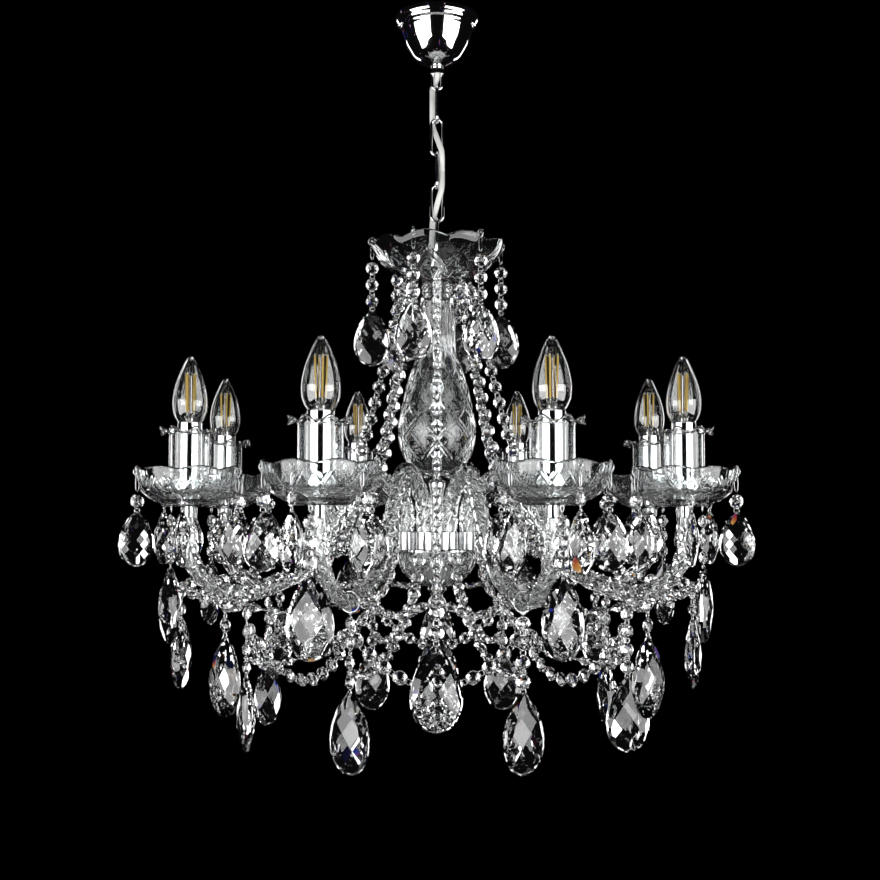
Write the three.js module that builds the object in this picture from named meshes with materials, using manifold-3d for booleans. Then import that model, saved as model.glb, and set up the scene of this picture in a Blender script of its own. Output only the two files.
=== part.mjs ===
// Crystal chandelier with eight lights, on a short chain.
// Millimetres, +Z up. The origin is the middle of the face that meets the ceiling.
// Arms stand at 22.5 degrees from the front and every 45 degrees on.

import * as THREE from 'three';
import { mergeVertices } from 'three/addons/utils/BufferGeometryUtils.js';
import Module from 'manifold-3d';

const wasm = await Module();
wasm.setup();

// Clearances and stock sizes
const fit = 0.3;
const holePlay = 0.4;

// Radius of a hole with flat sides that clears a round piece of a radius
function holeRound(radius, sides) {
  return (radius + holePlay) / Math.cos(Math.PI / sides);
}

const bury = 2;
const armCount = 8;
const firstArmAngle = Math.PI / armCount;
const armStep = (2 * Math.PI) / armCount;

const cable = { diameter: 6, play: 0.8 };

const rod = { radius: 5 };
const rodHole = holeRound(rod.radius, 10);

// Ceiling fixing and canopy
const bracket = {
  length: 74, width: 18, thickness: 2.5, slotLength: 12, slotWidth: 4.5, slotReach: 24,
  bossRadius: 9, bossHeight: 7,
};
const terminal = { length: 14, width: 14, height: 19, reach: 14 };
const canopy = { radius: 46, height: 56, wall: 1.5 };
const canopyRadiusShares = [1, 1, 0.93, 0.86, 0.74, 0.62, 0.5, 0.3];
const canopyDepthShares = [0, 0.08, 0.19, 0.25, 0.55, 0.72, 0.85, 0.94];
const stem = { radius: 6, windowTop: 12, windowBottom: 33 };
const collar = { radius: 7, height: 8.3 };
const loop = { drop: 17.5, halfWidth: 5.2 };

// Chain
const link = { wire: 3.2, length: 44, width: 16, play: 0.4, count: 5 };

// Column
const column = { eyeToSeat: 31.6, collarRadius: 8 };
const bowl = { rimRadius: 74, height: 44, wall: 3.5, scallops: 9, scallopDepth: 3 };
const bowlRadiusShares = [0.22, 0.55, 0.88];
const bowlHeightShares = [0, 0.16, 0.58];
const bowlDrops = { count: 6, firstAngle: 40, inset: 2, octagons: 3, hanger: 19 };
const neck = { height: 19, radius: 17, waistRadius: 13.5, ringCount: 3 };
const crown = { radius: 38, thickness: 2, hookRadius: 36 };
const baluster = { height: 200, radius: 42.6, wall: 4, footRadius: 10, fluteDepth: 1.2 };
const balusterRadiusShares = [0.54, 0.48, 0.49, 0.69, 0.89, 1, 0.95, 0.75, 0.38];
const balusterDepthShares = [0, 0.12, 0.29, 0.4, 0.58, 0.71, 0.8, 0.9, 0.965];
const fluteSpanShare = 0.34;

// Hub
const hub = {
  spacerHeight: 72, spacerRadius: 9, spacerWaist: 7, plateRadius: 46, plateThickness: 3,
  ferruleRing: 35, ferruleRadius: 8.6, ferruleWall: 1.2, ferruleHeight: 19,
};
const dish = { radius: 44, height: 38, wall: 3, footRadius: 12 };
const dishRadiusShares = [1, 0.97, 0.8, 0.5];
const dishDepthShares = [0, 0.28, 0.68, 0.92];
const finial = { height: 36, radius: 10, waist: 6, bore: 14, eyeRadius: 4, eyeWire: 1.6 };

// Arms: reach is measured from the column's axis, rise from the top of the ferrules
const arm = {
  radius: 8.5, lobes: 3, valleyShare: 0.76, turns: 3, steps: 21, tenonRadius: 6,
  archReach: 84, archRise: 64, slopeReach: 119, slopeRise: 14, saddleReach: 152, saddleRise: -37,
  lowReach: 211, lowRise: -62, bendReach: 252, bendRise: -48, reach: 270, topRise: 26, boreDepth: 11,
  postHeight: 44, endHeight: 14,
};

// Lights
const bobeche = {
  rimRadius: 53.7, seatRadius: 22, height: 39, wall: 3, seatThickness: 6, scallops: 12, scallopDepth: 1.6,
};
const bobecheMiddle = { radiusShare: 0.86, heightShare: 0.36 };
const bobecheDrops = { count: 5, inset: 2, octagons: 1, hanger: 20 };
const bobecheStrand = { reach: 18, octagons: 3, hanger: 8 };
const cup = { radius: 20.6, rimRadius: 29.5, height: 69, floor: 3, wall: 1.6, waves: 8, waveHeight: 4 };
const tube = { radius: 12.4, height: 75, nippleRadius: 5 };
const bulb = { capRadius: 7, capLength: 25, radius: 17.75, glassLength: 67.5 };
const bulbRadiusShares = [0.64, 0.93, 1, 0.82, 0.45];
const bulbHeightShares = [0, 0.13, 0.34, 0.58, 0.85];
const holder = { play: 0.4, extraDepth: 1 };

// Crystals
const octagon = { width: 14, thickness: 8, pitch: 18, pin: 0.9 };
const smallAlmond = { length: 55, width: 35, thickness: 14 };
const bowlAlmond = { length: 62, width: 39, thickness: 15 };
const largeAlmond = { length: 76, width: 46, thickness: 17 };
const almondWidestShare = 0.62;
const almondFootShare = 0.28;

// Garlands and swags
const garland = {
  bowlReach: 63, bowlDrop: 111, archReach: 89, archDrop: 200, slopeReach: 142, slopeDrop: 280,
  lowReach: 213, lowDrop: 321, reach: 277, drop: 330, octagons: 2,
};
const hookRing = { wire: 1.6, play: 0.5, hang: 0.9, segments: 6 };
const swag = { reach: 209, midReach: 187, midDrop: 71, octagons: 4, hanger: 2, sag: 12 };
// Strings from the hub's plate down to the large drops under the arms: [reach, drop below the plate]
const dishString = [[58, 34], [92, 76], [140, 104], [182, 112]];
const dishStringJoin = 3;

// Levels, from the ceiling down
const stemFootZ = -canopy.height;
const collarFootZ = stemFootZ - collar.height;
const loopWireZ = collarFootZ - loop.drop;
const hangPitch = link.wire + link.play;
const linkPitch = link.length - link.wire - hangPitch;
const firstLinkTopZ = loopWireZ + hangPitch;
const eyeWireZ = firstLinkTopZ - link.count * linkPitch;
const columnCollarTopZ = eyeWireZ - loop.drop;
const bowlSeatZ = eyeWireZ - column.eyeToSeat;
const bowlFootZ = bowlSeatZ - bowl.wall;
const crownTopZ = bowlFootZ - fit;
const neckFootZ = crownTopZ - neck.height;
const balusterTopZ = neckFootZ - fit;
const balusterFootZ = balusterTopZ - baluster.height;
const hubTopZ = balusterFootZ - fit;
const plateTopZ = hubTopZ - hub.spacerHeight;
const plateFootZ = plateTopZ - hub.plateThickness;
const ferruleTopZ = plateTopZ + hub.ferruleHeight;
const dishTopZ = plateFootZ - fit;
const dishFootZ = dishTopZ - dish.height;
const finialTopZ = dishFootZ - fit;
const finialFootZ = finialTopZ - finial.height;
const armTopZ = ferruleTopZ + arm.topRise;
const bobecheFootZ = armTopZ + fit;
const cupFootZ = bobecheFootZ + bobeche.seatThickness + fit;
const tubeSeatZ = cupFootZ + cup.floor + fit;
const tubeTopZ = tubeSeatZ + tube.height;
const garlandEndZ = crownTopZ - garland.drop;

// Solids

function tidyIndex(geometry) {
  geometry.deleteAttribute('normal');
  if (geometry.getAttribute('uv')) geometry.deleteAttribute('uv');
  const merged = mergeVertices(geometry, 1e-4);
  const kept = [];
  const index = merged.getIndex().array;
  for (let i = 0; i < index.length; i += 3) {
    const [a, b, c] = index.slice(i, i + 3);
    if (a !== b && b !== c && c !== a) kept.push(a, b, c);
  }
  merged.setIndex(kept);
  return merged;
}

function signedVolume(positions, index) {
  const a = new THREE.Vector3();
  const b = new THREE.Vector3();
  const c = new THREE.Vector3();
  let sum = 0;
  for (let i = 0; i < index.length; i += 3) {
    a.fromArray(positions, 3 * index[i]);
    b.fromArray(positions, 3 * index[i + 1]);
    c.fromArray(positions, 3 * index[i + 2]);
    sum += a.dot(b.cross(c));
  }
  return sum;
}

function solid(geometry) {
  const closed = tidyIndex(geometry);
  const positions = new Float32Array(closed.getAttribute('position').array);
  const index = Uint32Array.from(closed.getIndex().array);
  if (signedVolume(positions, index) < 0) {
    for (let i = 0; i < index.length; i += 3) {
      [index[i], index[i + 1]] = [index[i + 1], index[i]];
    }
  }
  return new wasm.Manifold(new wasm.Mesh({ numProp: 3, vertProperties: positions, triVerts: index }));
}

function joined(solids) {
  return solids.reduce((whole, piece) => whole.add(piece));
}

function geometryOf(body) {
  const mesh = body.getMesh();
  const geometry = new THREE.BufferGeometry();
  geometry.setAttribute('position', new THREE.BufferAttribute(mesh.vertProperties, 3));
  geometry.setIndex(new THREE.BufferAttribute(mesh.triVerts, 1));
  geometry.computeVertexNormals();
  return geometry;
}

// A turned solid about Z: the profile is a list of [radius, z]
function turnedGeometry(profile, sides) {
  const points = profile.map(([radius, z]) => new THREE.Vector2(radius, z));
  return new THREE.LatheGeometry(points, sides).rotateX(Math.PI / 2);
}

function turned(profile, sides) {
  return solid(turnedGeometry(profile, sides));
}

// A turned solid whose vertices are moved by a rule of radius, angle and height
function turnedAndShaped(profile, sides, rule) {
  const geometry = turnedGeometry(profile, sides);
  const position = geometry.getAttribute('position');
  for (let i = 0; i < position.count; i += 1) {
    const angle = Math.atan2(position.getY(i), position.getX(i));
    const radius = Math.hypot(position.getX(i), position.getY(i));
    const [newRadius, newZ] = rule(radius, angle, position.getZ(i));
    position.setXYZ(i, newRadius * Math.cos(angle), newRadius * Math.sin(angle), newZ);
  }
  return solid(geometry);
}

// A closed ring-shaped solid from a stack of rings [radius, z, count, rule]. A ring may have twice or
// half as many corners as the next one, and its rule moves a corner by its angle
function stacked(rings) {
  const positions = [];
  const starts = [];
  for (const [radius, z, count, rule] of rings) {
    starts.push(positions.length / 3);
    for (let i = 0; i < count; i += 1) {
      const angle = (2 * Math.PI * i) / count;
      const [newRadius, newZ] = rule ? rule(radius, angle, z) : [radius, z];
      positions.push(newRadius * Math.cos(angle), newRadius * Math.sin(angle), newZ);
    }
  }
  const index = [];
  rings.forEach((ring, i) => {
    const next = (i + 1) % rings.length;
    const [fewer, more] = ring[2] <= rings[next][2] ? [i, next] : [next, i];
    const count = rings[fewer][2];
    const ratio = rings[more][2] / count;
    const flip = fewer !== i;
    for (let j = 0; j < count; j += 1) {
      const a = starts[fewer] + j;
      const b = starts[fewer] + ((j + 1) % count);
      const around = count * ratio;
      const fan = Array.from({ length: ratio + 1 }, (_, k) => starts[more] + ((j * ratio + k) % around));
      const turn = Math.ceil(ratio / 2);
      fan.slice(0, -1).forEach((corner, k) => {
        const triangle = [k < turn ? a : b, corner, fan[k + 1]];
        index.push(...(flip ? triangle.reverse() : triangle));
      });
      const join = [a, fan[turn], b];
      index.push(...(flip ? join.reverse() : join));
    }
  });
  const geometry = new THREE.BufferGeometry();
  geometry.setAttribute('position', new THREE.Float32BufferAttribute(positions, 3));
  geometry.setIndex(index);
  return solid(geometry);
}

function box(width, depth, height, x, y, z) {
  return solid(new THREE.BoxGeometry(width, depth, height).translate(x, y, z));
}

// A skin through rings that have the same number of corners, capped at both ends unless closed
function lofted(rings, closed) {
  const count = rings.length;
  const sides = rings[0].length;
  const positions = rings.flat().flatMap((point) => point.toArray());
  const index = [];
  const spans = closed ? count : count - 1;
  for (let i = 0; i < spans; i += 1) {
    const next = (i + 1) % count;
    for (let j = 0; j < sides; j += 1) {
      const k = (j + 1) % sides;
      index.push(i * sides + j, next * sides + j, next * sides + k);
      index.push(i * sides + j, next * sides + k, i * sides + k);
    }
  }
  if (!closed) {
    const last = (count - 1) * sides;
    for (let j = 1; j < sides - 1; j += 1) {
      index.push(0, j, j + 1);
      index.push(last, last + j + 1, last + j);
    }
  }
  const geometry = new THREE.BufferGeometry();
  geometry.setAttribute('position', new THREE.Float32BufferAttribute(positions, 3));
  geometry.setIndex(index);
  return solid(geometry);
}

// Rings of a section set square to a path. sideAt gives the way of the section's first axis
function ringsAlong(centres, sectionAt, sideAt, closed) {
  const count = centres.length;
  return centres.map((centre, i) => {
    const before = centres[closed ? (i + count - 1) % count : Math.max(i - 1, 0)];
    const after = centres[closed ? (i + 1) % count : Math.min(i + 1, count - 1)];
    const way = after.clone().sub(before).normalize();
    const side = sideAt(i).clone();
    side.addScaledVector(way, -side.dot(way)).normalize();
    const up = way.clone().cross(side);
    return sectionAt(i).map(([u, v]) => centre.clone().addScaledVector(side, u).addScaledVector(up, v));
  });
}

function swept(centres, sectionAt, sideAt, closed) {
  return lofted(ringsAlong(centres, sectionAt, sideAt, closed), closed);
}

function circle(radius, sides) {
  const points = [];
  for (let i = 0; i < sides; i += 1) {
    const angle = (2 * Math.PI * i) / sides;
    points.push([radius * Math.cos(angle), radius * Math.sin(angle)]);
  }
  return points;
}

function wedge(halfWidth, halfThickness) {
  return [[halfWidth, -halfThickness], [0, halfThickness], [-halfWidth, -halfThickness]];
}

function lozenge(halfWidth, halfThickness) {
  return [[halfWidth, 0], [0, halfThickness], [-halfWidth, 0], [0, -halfThickness]];
}

function wireRing(centre, axis, radius, wire) {
  const across = new THREE.Vector3(0, 0, 1).cross(axis);
  if (across.lengthSq() < 0.01) across.set(1, 0, 0);
  across.normalize();
  const along = axis.clone().cross(across).normalize();
  const corner = radius / Math.cos(Math.PI / hookRing.segments);
  const centres = circle(corner, hookRing.segments).map(
    ([u, v]) => centre.clone().addScaledVector(across, u).addScaledVector(along, v),
  );
  const section = circle(wire / 2, 3);
  return swept(centres, () => section, () => axis, true);
}

// Places in the round: angle 0 is the front (-Y), turning towards +X
function spot(reach, angle, z) {
  return new THREE.Vector3(reach * Math.sin(angle), -reach * Math.cos(angle), z);
}

function outward(angle) {
  return spot(1, angle, 0);
}

function sideways(angle) {
  return new THREE.Vector3(Math.cos(angle), Math.sin(angle), 0);
}

// Strings of crystals

const pinHalf = [octagon.pin, octagon.pin];
const octagonHalf = [octagon.width / 2, octagon.thickness / 2];

// A run of octagons along a curve: a pin, then an octagon and a pin for each pitch
function octagonRun(curve, widthWay) {
  const count = Math.max(1, Math.round(curve.getLength() / octagon.pitch));
  const centres = curve.getSpacedPoints(2 * count);
  const sectionAt = (i) => wedge(...(i % 2 ? octagonHalf : pinHalf));
  return swept(centres, sectionAt, () => widthWay, false);
}

// A string that hangs straight down from top: octagons, then an almond
function hangingString(top, faceAngle, octagons, almond, hanger = 0, section = wedge) {
  const stations = [[0, pinHalf]];
  if (hanger) stations.push([hanger, pinHalf]);
  for (let i = 0; i < octagons; i += 1) {
    stations.push([hanger + (i + 0.5) * octagon.pitch, octagonHalf]);
    stations.push([hanger + (i + 1) * octagon.pitch, pinHalf]);
  }
  const start = hanger + octagons * octagon.pitch;
  const half = [almond.width / 2, almond.thickness / 2];
  stations.push([start + almondWidestShare * almond.length, half]);
  stations.push([start + almond.length, half.map((size) => size * almondFootShare)]);
  const centres = stations.map(([drop]) => new THREE.Vector3(top.x, top.y, top.z - drop));
  return swept(centres, (i) => section(...stations[i][1]), () => sideways(faceAngle), false);
}

// Height of an outline, given as a list of [radius, z], at a radius between its ends
function heightAt(outline, radius) {
  const next = outline.findIndex(([reach]) => reach >= radius);
  const [innerReach, innerZ] = outline[next - 1];
  const [outerReach, outerZ] = outline[next];
  return innerZ + ((outerZ - innerZ) * (radius - innerReach)) / (outerReach - innerReach);
}

function smooth(points) {
  return new THREE.CatmullRomCurve3(points, false, 'centripetal');
}

// Ceiling fixing and canopy

function makeBracket() {
  const half = bracket.length / 2 - bracket.width / 2;
  const outline = new THREE.Shape();
  outline.absarc(half, 0, bracket.width / 2, -Math.PI / 2, Math.PI / 2);
  outline.absarc(-half, 0, bracket.width / 2, Math.PI / 2, (3 * Math.PI) / 2);
  for (const side of [-1, 1]) {
    const slot = new THREE.Path();
    const reach = (bracket.slotLength - bracket.slotWidth) / 2;
    slot.absarc(side * bracket.slotReach + reach, 0, bracket.slotWidth / 2, -Math.PI / 2, Math.PI / 2);
    slot.absarc(side * bracket.slotReach - reach, 0, bracket.slotWidth / 2, Math.PI / 2, 1.5 * Math.PI);
    outline.holes.push(slot);
  }
  const strip = new THREE.ExtrudeGeometry(outline, {
    depth: bracket.thickness, bevelEnabled: false, curveSegments: 3,
  });
  const bossBore = stem.radius + fit;
  const boss = turned([
    [bossBore, -bracket.thickness - bracket.bossHeight],
    [bracket.bossRadius, -bracket.thickness - bracket.bossHeight],
    [bracket.bossRadius, -bracket.thickness / 2],
    [0, -bracket.thickness / 2],
    [0, -bracket.thickness - fit],
    [bossBore, -bracket.thickness - fit],
    [bossBore, -bracket.thickness - bracket.bossHeight],
  ], 12);
  return joined([solid(strip.translate(0, 0, -bracket.thickness)), boss]);
}

function makeTerminalBlock() {
  const top = -bracket.thickness - fit;
  return box(
    terminal.length, terminal.width, terminal.height,
    terminal.reach + terminal.length / 2, 0, top - terminal.height / 2,
  );
}

function makeCanopyShell() {
  const outer = canopyRadiusShares.map(
    (share, i) => [share * canopy.radius, -canopyDepthShares[i] * canopy.height],
  );
  const holeRadius = stem.radius + fit;
  const footZ = stemFootZ + fit;
  const inner = outer.filter((_, i) => i !== 1).reverse().map(
    ([radius, z]) => [radius - canopy.wall, z ? z + canopy.wall / 2 : z],
  );
  return turned([
    ...outer,
    [holeRadius + canopy.wall, footZ],
    [holeRadius, footZ],
    [holeRadius, footZ + canopy.wall],
    ...inner,
    outer[0],
  ], 16);
}

// A bail of wire that hangs below a collar (way -1) or stands above it (way 1)
function makeBail(collarFaceZ, wireZ, way) {
  const bendZ = wireZ - way * loop.halfWidth;
  const centres = [new THREE.Vector3(-loop.halfWidth, 0, collarFaceZ - way * bury)];
  const bends = 6;
  for (let i = 0; i <= bends; i += 1) {
    const angle = (Math.PI * i) / bends;
    const x = -loop.halfWidth * Math.cos(angle);
    centres.push(new THREE.Vector3(x, 0, bendZ + way * loop.halfWidth * Math.sin(angle)));
  }
  centres.push(new THREE.Vector3(loop.halfWidth, 0, collarFaceZ - way * bury));
  const section = circle(link.wire / 2, 6);
  return swept(centres, () => section, () => new THREE.Vector3(0, 1, 0), false);
}

const wireWay = cable.diameter / 2 + cable.play;

function makeCanopyLoop() {
  const stemTop = -bracket.thickness - 2 * fit;
  const body = turned([
    [wireWay, collarFootZ],
    [collar.radius, collarFootZ],
    [collar.radius, stemFootZ],
    [stem.radius, stemFootZ],
    [stem.radius, stemTop],
    [0, stemTop],
    [0, -stem.windowTop],
    [wireWay, -stem.windowTop],
    [wireWay, collarFootZ],
  ], 16);
  const windowHeight = stem.windowBottom - stem.windowTop;
  const window = box(
    2 * (stem.radius + bury), 2 * wireWay, windowHeight,
    stem.radius + bury, 0, -stem.windowTop - windowHeight / 2,
  );
  return joined([body.subtract(window), makeBail(collarFootZ, loopWireZ, -1)]);
}

// Chain

function makeLink(number) {
  const topZ = firstLinkTopZ - (number - 1) * linkPitch;
  const halfWidth = (link.width - link.wire) / 2;
  const bendTopZ = topZ - halfWidth;
  const bendFootZ = topZ - (link.length - link.wire) + halfWidth;
  const bends = 6;
  const flat = number % 2 === 0;
  const centres = [];
  for (const [bendZ, from] of [[bendTopZ, 0], [bendFootZ, Math.PI]]) {
    for (let i = 0; i <= bends; i += 1) {
      const angle = from + (Math.PI * i) / bends;
      const across = halfWidth * Math.cos(angle);
      const z = bendZ + halfWidth * Math.sin(angle);
      centres.push(flat ? new THREE.Vector3(across, 0, z) : new THREE.Vector3(0, across, z));
    }
  }
  const side = flat ? new THREE.Vector3(0, 1, 0) : new THREE.Vector3(1, 0, 0);
  const section = circle(link.wire / 2, 5);
  return swept(centres, () => section, () => side, true);
}

// The supply cable's route, chosen by hand: terminal block, stem, woven through the chain, column
const cableRoute = [
  [13.7, 0, -18.5], [9, 0, -19], [4, 0, -22], [0.6, 0, -28.5], [0, 0, -36], [0, 0, -49], [0, 0, -64.5],
  [-0.4, 1.9, -69], [-3, 5.6, -74], [-5.2, 6, -80], [-5.4, 3.2, -88], [-5.4, 0.4, -97], [-5.4, 1.6, -106],
  [-5.4, 5.4, -114.5], [-4.6, 6.2, -122.5], [-2, 3.6, -130.5], [0, 0, -137], [2, -3.6, -143.5],
  [4.6, -6.2, -151.5], [5.4, -5.4, -159.5], [5.4, -1.6, -168], [5.4, 0, -174.5], [5.4, -1.6, -181],
  [5.4, -5.4, -189.5], [4.6, -6.2, -197], [2, -3.6, -205], [0, 0, -211.5], [-2, 3.6, -218],
  [-4.6, 6.2, -226], [-5.4, 5.4, -234], [-5.4, 1.6, -242.5], [-5.4, 0.4, -250], [-5.4, 3.2, -258],
  [-5.2, 6, -266], [-3, 5.6, -272], [-0.4, 1.9, -277.5], [0, 0, -282.5], [0, 0, -294],
];

function makeCable() {
  const section = new THREE.Shape(circle(cable.diameter / 2, 8).map(([u, v]) => new THREE.Vector2(u, v)));
  const route = smooth(cableRoute.map((point) => new THREE.Vector3(...point)));
  return solid(new THREE.ExtrudeGeometry(section, {
    steps: 38, bevelEnabled: false, extrudePath: route,
  }));
}

// Column

function makeRod() {
  const rodFootZ = finialTopZ - finial.bore + fit;
  const wireFootZ = bowlSeatZ + fit;
  const body = turned([
    [wireWay, columnCollarTopZ],
    [column.collarRadius, columnCollarTopZ],
    [column.collarRadius, bowlSeatZ + fit],
    [rod.radius, bowlSeatZ + fit],
    [rod.radius, rodFootZ],
    [0, rodFootZ],
    [0, wireFootZ],
    [wireWay, wireFootZ],
    [wireWay, columnCollarTopZ],
  ], 10);
  return joined([body, makeBail(columnCollarTopZ, eyeWireZ, 1)]);
}

function scalloped(profile, scallops, depth, rimRadius) {
  return turnedAndShaped(profile, 2 * scallops, (radius, angle, z) => {
    const share = Math.max(0, (radius - rimRadius / 2) / (rimRadius / 2));
    const wave = Math.cos(scallops * angle);
    return [radius - depth * share * (1 - wave) / 2, z - depth * share * (1 - wave) / 2];
  });
}

function makeTopBowl() {
  const rimZ = bowlFootZ + bowl.height;
  const outer = bowlRadiusShares.map(
    (share, i) => [share * bowl.rimRadius, bowlFootZ + bowlHeightShares[i] * bowl.height],
  );
  const inner = outer.slice(1, 2).map(([radius, z]) => [radius - bowl.wall, z + bowl.wall]);
  const shell = scalloped([
    [rodHole, bowlFootZ],
    ...outer,
    [bowl.rimRadius, rimZ],
    [bowl.rimRadius - bowl.wall, rimZ],
    ...inner,
    [outer[0][0], bowlSeatZ],
    [rodHole, bowlSeatZ],
    [rodHole, bowlFootZ],
  ], bowl.scallops, bowl.scallopDepth, bowl.rimRadius);
  const pieces = [shell];
  for (let i = 0; i < bowlDrops.count; i += 1) {
    const angle = THREE.MathUtils.degToRad(bowlDrops.firstAngle) + (2 * Math.PI * i) / bowlDrops.count;
    const top = spot(bowl.rimRadius - bowlDrops.inset, angle, rimZ - bury);
    pieces.push(hangingString(top, 0, bowlDrops.octagons, bowlAlmond, bowlDrops.hanger));
  }
  return joined(pieces);
}

function garlandCurve(angle) {
  const points = [
    [crown.hookRadius, crown.thickness / 2],
    [garland.bowlReach, garland.bowlDrop],
    [garland.archReach, garland.archDrop],
    [garland.slopeReach, garland.slopeDrop],
    [garland.lowReach, garland.lowDrop],
    [garland.reach, garland.drop],
  ];
  return smooth(points.map(([reach, drop]) => spot(reach, angle, crownTopZ - drop)));
}

// Neck rings, the disc above them and the eight long garlands that hang from the disc
function makeCrown() {
  const discFootZ = crownTopZ - crown.thickness;
  const profile = [[rodHole, crownTopZ], [crown.radius, crownTopZ], [crown.radius, discFootZ]];
  const ringHeight = (neck.height - crown.thickness) / neck.ringCount;
  for (let i = 0; i < neck.ringCount; i += 1) {
    const top = discFootZ - i * ringHeight;
    profile.push([neck.waistRadius, top]);
    profile.push([neck.radius, top - ringHeight / 3]);
    profile.push([neck.radius, top - (2 * ringHeight) / 3]);
  }
  profile.push([neck.waistRadius, neckFootZ], [rodHole, neckFootZ], [rodHole, crownTopZ]);
  const pieces = [turned(profile, 12)];
  for (let i = 0; i < armCount; i += 1) {
    const angle = i * armStep;
    const inPlane = outward(angle).setZ(1);
    pieces.push(octagonRun(garlandCurve(angle), inPlane));
    const end = spot(garland.reach, angle, garlandEndZ + octagon.pin);
    pieces.push(hangingString(end, angle, garland.octagons, largeAlmond));
  }
  return joined(pieces);
}

function makeBaluster() {
  const outer = balusterRadiusShares.map(
    (share, i) => [share * baluster.radius, balusterTopZ - balusterDepthShares[i] * baluster.height],
  );
  const fluteFootZ = balusterTopZ - fluteSpanShare * baluster.height;
  const sides = 16;
  return turnedAndShaped([
    [rodHole, balusterTopZ],
    ...outer,
    [baluster.footRadius, balusterFootZ],
    [rodHole, balusterFootZ],
    [rodHole, balusterFootZ + 3 * baluster.wall],
    ...outer.slice(0, -1).reverse().map(
      ([radius, z], i, all) => [radius - baluster.wall, i === all.length - 1 ? z - baluster.wall : z],
    ),
    [rodHole, balusterTopZ - baluster.wall],
    [rodHole, balusterTopZ],
  ], sides, (radius, angle, z) => {
    const fluted = z > fluteFootZ && radius > 2 * rodHole;
    const wave = fluted ? (1 - Math.cos((sides / 2) * angle)) / 2 : 0;
    return [radius - baluster.fluteDepth * wave, z];
  });
}

// Hub

function makeArmHub() {
  const plate = turned([
    [rodHole, plateFootZ],
    [hub.plateRadius, plateFootZ],
    [hub.plateRadius, plateTopZ],
    [hub.spacerRadius, plateTopZ],
    [hub.spacerWaist, plateTopZ + hub.spacerHeight / 4],
    [hub.spacerWaist, hubTopZ - hub.spacerHeight / 4],
    [hub.spacerRadius, hubTopZ],
    [rodHole, hubTopZ],
    [rodHole, plateFootZ],
  ], 16);
  const pieces = [plate];
  const footZ = plateTopZ - hub.plateThickness / 2;
  const socketRadius = hub.ferruleRadius - hub.ferruleWall;
  for (let i = 0; i < armCount; i += 1) {
    const ferrule = turned([
      [0, footZ],
      [hub.ferruleRadius, footZ],
      [hub.ferruleRadius, ferruleTopZ],
      [socketRadius, ferruleTopZ],
      [socketRadius, plateTopZ + bury],
      [0, plateTopZ + bury],
    ], 8);
    const place = spot(hub.ferruleRing, firstArmAngle + i * armStep, 0);
    pieces.push(ferrule.translate([place.x, place.y, 0]));
  }
  return joined(pieces);
}

function makeHubDish() {
  const outer = dishRadiusShares.map(
    (share, i) => [share * dish.radius, dishTopZ - dishDepthShares[i] * dish.height],
  );
  const inner = outer.filter((_, i) => i % 2 === 0).reverse().map(
    ([radius, z]) => [radius - dish.wall, z === dishTopZ ? z : z + dish.wall / 2],
  );
  return turned([
    ...outer,
    [dish.footRadius, dishFootZ],
    [rodHole, dishFootZ],
    [rodHole, dishFootZ + dish.wall],
    [dish.footRadius, dishFootZ + dish.wall],
    ...inner,
    outer[0],
  ], 12);
}

function makeFinial() {
  const boreFootZ = finialTopZ - finial.bore;
  const body = turned([
    [rodHole, finialTopZ],
    [finial.radius, finialTopZ],
    [finial.waist, finialTopZ - finial.height / 4],
    [finial.radius, finialTopZ - finial.height / 2],
    [finial.waist, finialTopZ - (3 * finial.height) / 4],
    [finial.eyeRadius, finialFootZ],
    [0, finialFootZ],
    [0, boreFootZ],
    [rodHole, boreFootZ],
    [rodHole, finialTopZ],
  ], 10);
  const eyeCentre = new THREE.Vector3(0, 0, finialFootZ - finial.eyeRadius + finial.eyeWire / 2);
  const eye = wireRing(eyeCentre, new THREE.Vector3(0, 1, 0), finial.eyeRadius, finial.eyeWire);
  return joined([body, eye]);
}

function makeCentreDrop() {
  const ringRadius = finial.eyeRadius;
  const eyeWireLowZ = finialFootZ - 2 * finial.eyeRadius + finial.eyeWire / 2;
  const ringCentreZ = eyeWireLowZ + finial.eyeWire + fit - ringRadius;
  const ring = wireRing(
    new THREE.Vector3(0, 0, ringCentreZ), new THREE.Vector3(1, 0, 0), ringRadius, finial.eyeWire,
  );
  const top = new THREE.Vector3(0, 0, ringCentreZ - ringRadius);
  return joined([ring, hangingString(top, 0, 0, largeAlmond, 0, lozenge)]);
}

// Arms

function armCurve(angle) {
  const points = [
    [hub.ferruleRing, fit],
    [hub.ferruleRing + arm.radius / 2, arm.archRise / 2],
    [arm.archReach, arm.archRise],
    [arm.slopeReach, arm.slopeRise],
    [arm.saddleReach, arm.saddleRise],
    [arm.lowReach, arm.lowRise],
    [arm.bendReach, arm.bendRise],
    [arm.reach, arm.topRise - arm.postHeight],
    [arm.reach, arm.topRise - arm.endHeight],
  ];
  return smooth(points.map(([reach, rise]) => spot(reach, angle, ferruleTopZ + rise)));
}

function ropeSection(turn) {
  const points = [];
  for (let i = 0; i < 2 * arm.lobes; i += 1) {
    const radius = i % 2 ? arm.radius * arm.valleyShare : arm.radius;
    const angle = turn + (Math.PI * i) / arm.lobes;
    points.push([radius * Math.cos(angle), radius * Math.sin(angle)]);
  }
  return points;
}

function levelRing(reach, angle, z, radius) {
  const centre = spot(reach, angle, z);
  return circle(radius, 2 * arm.lobes).map(
    ([u, v]) => centre.clone().addScaledVector(sideways(angle), u).addScaledVector(outward(angle), -v),
  );
}

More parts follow.
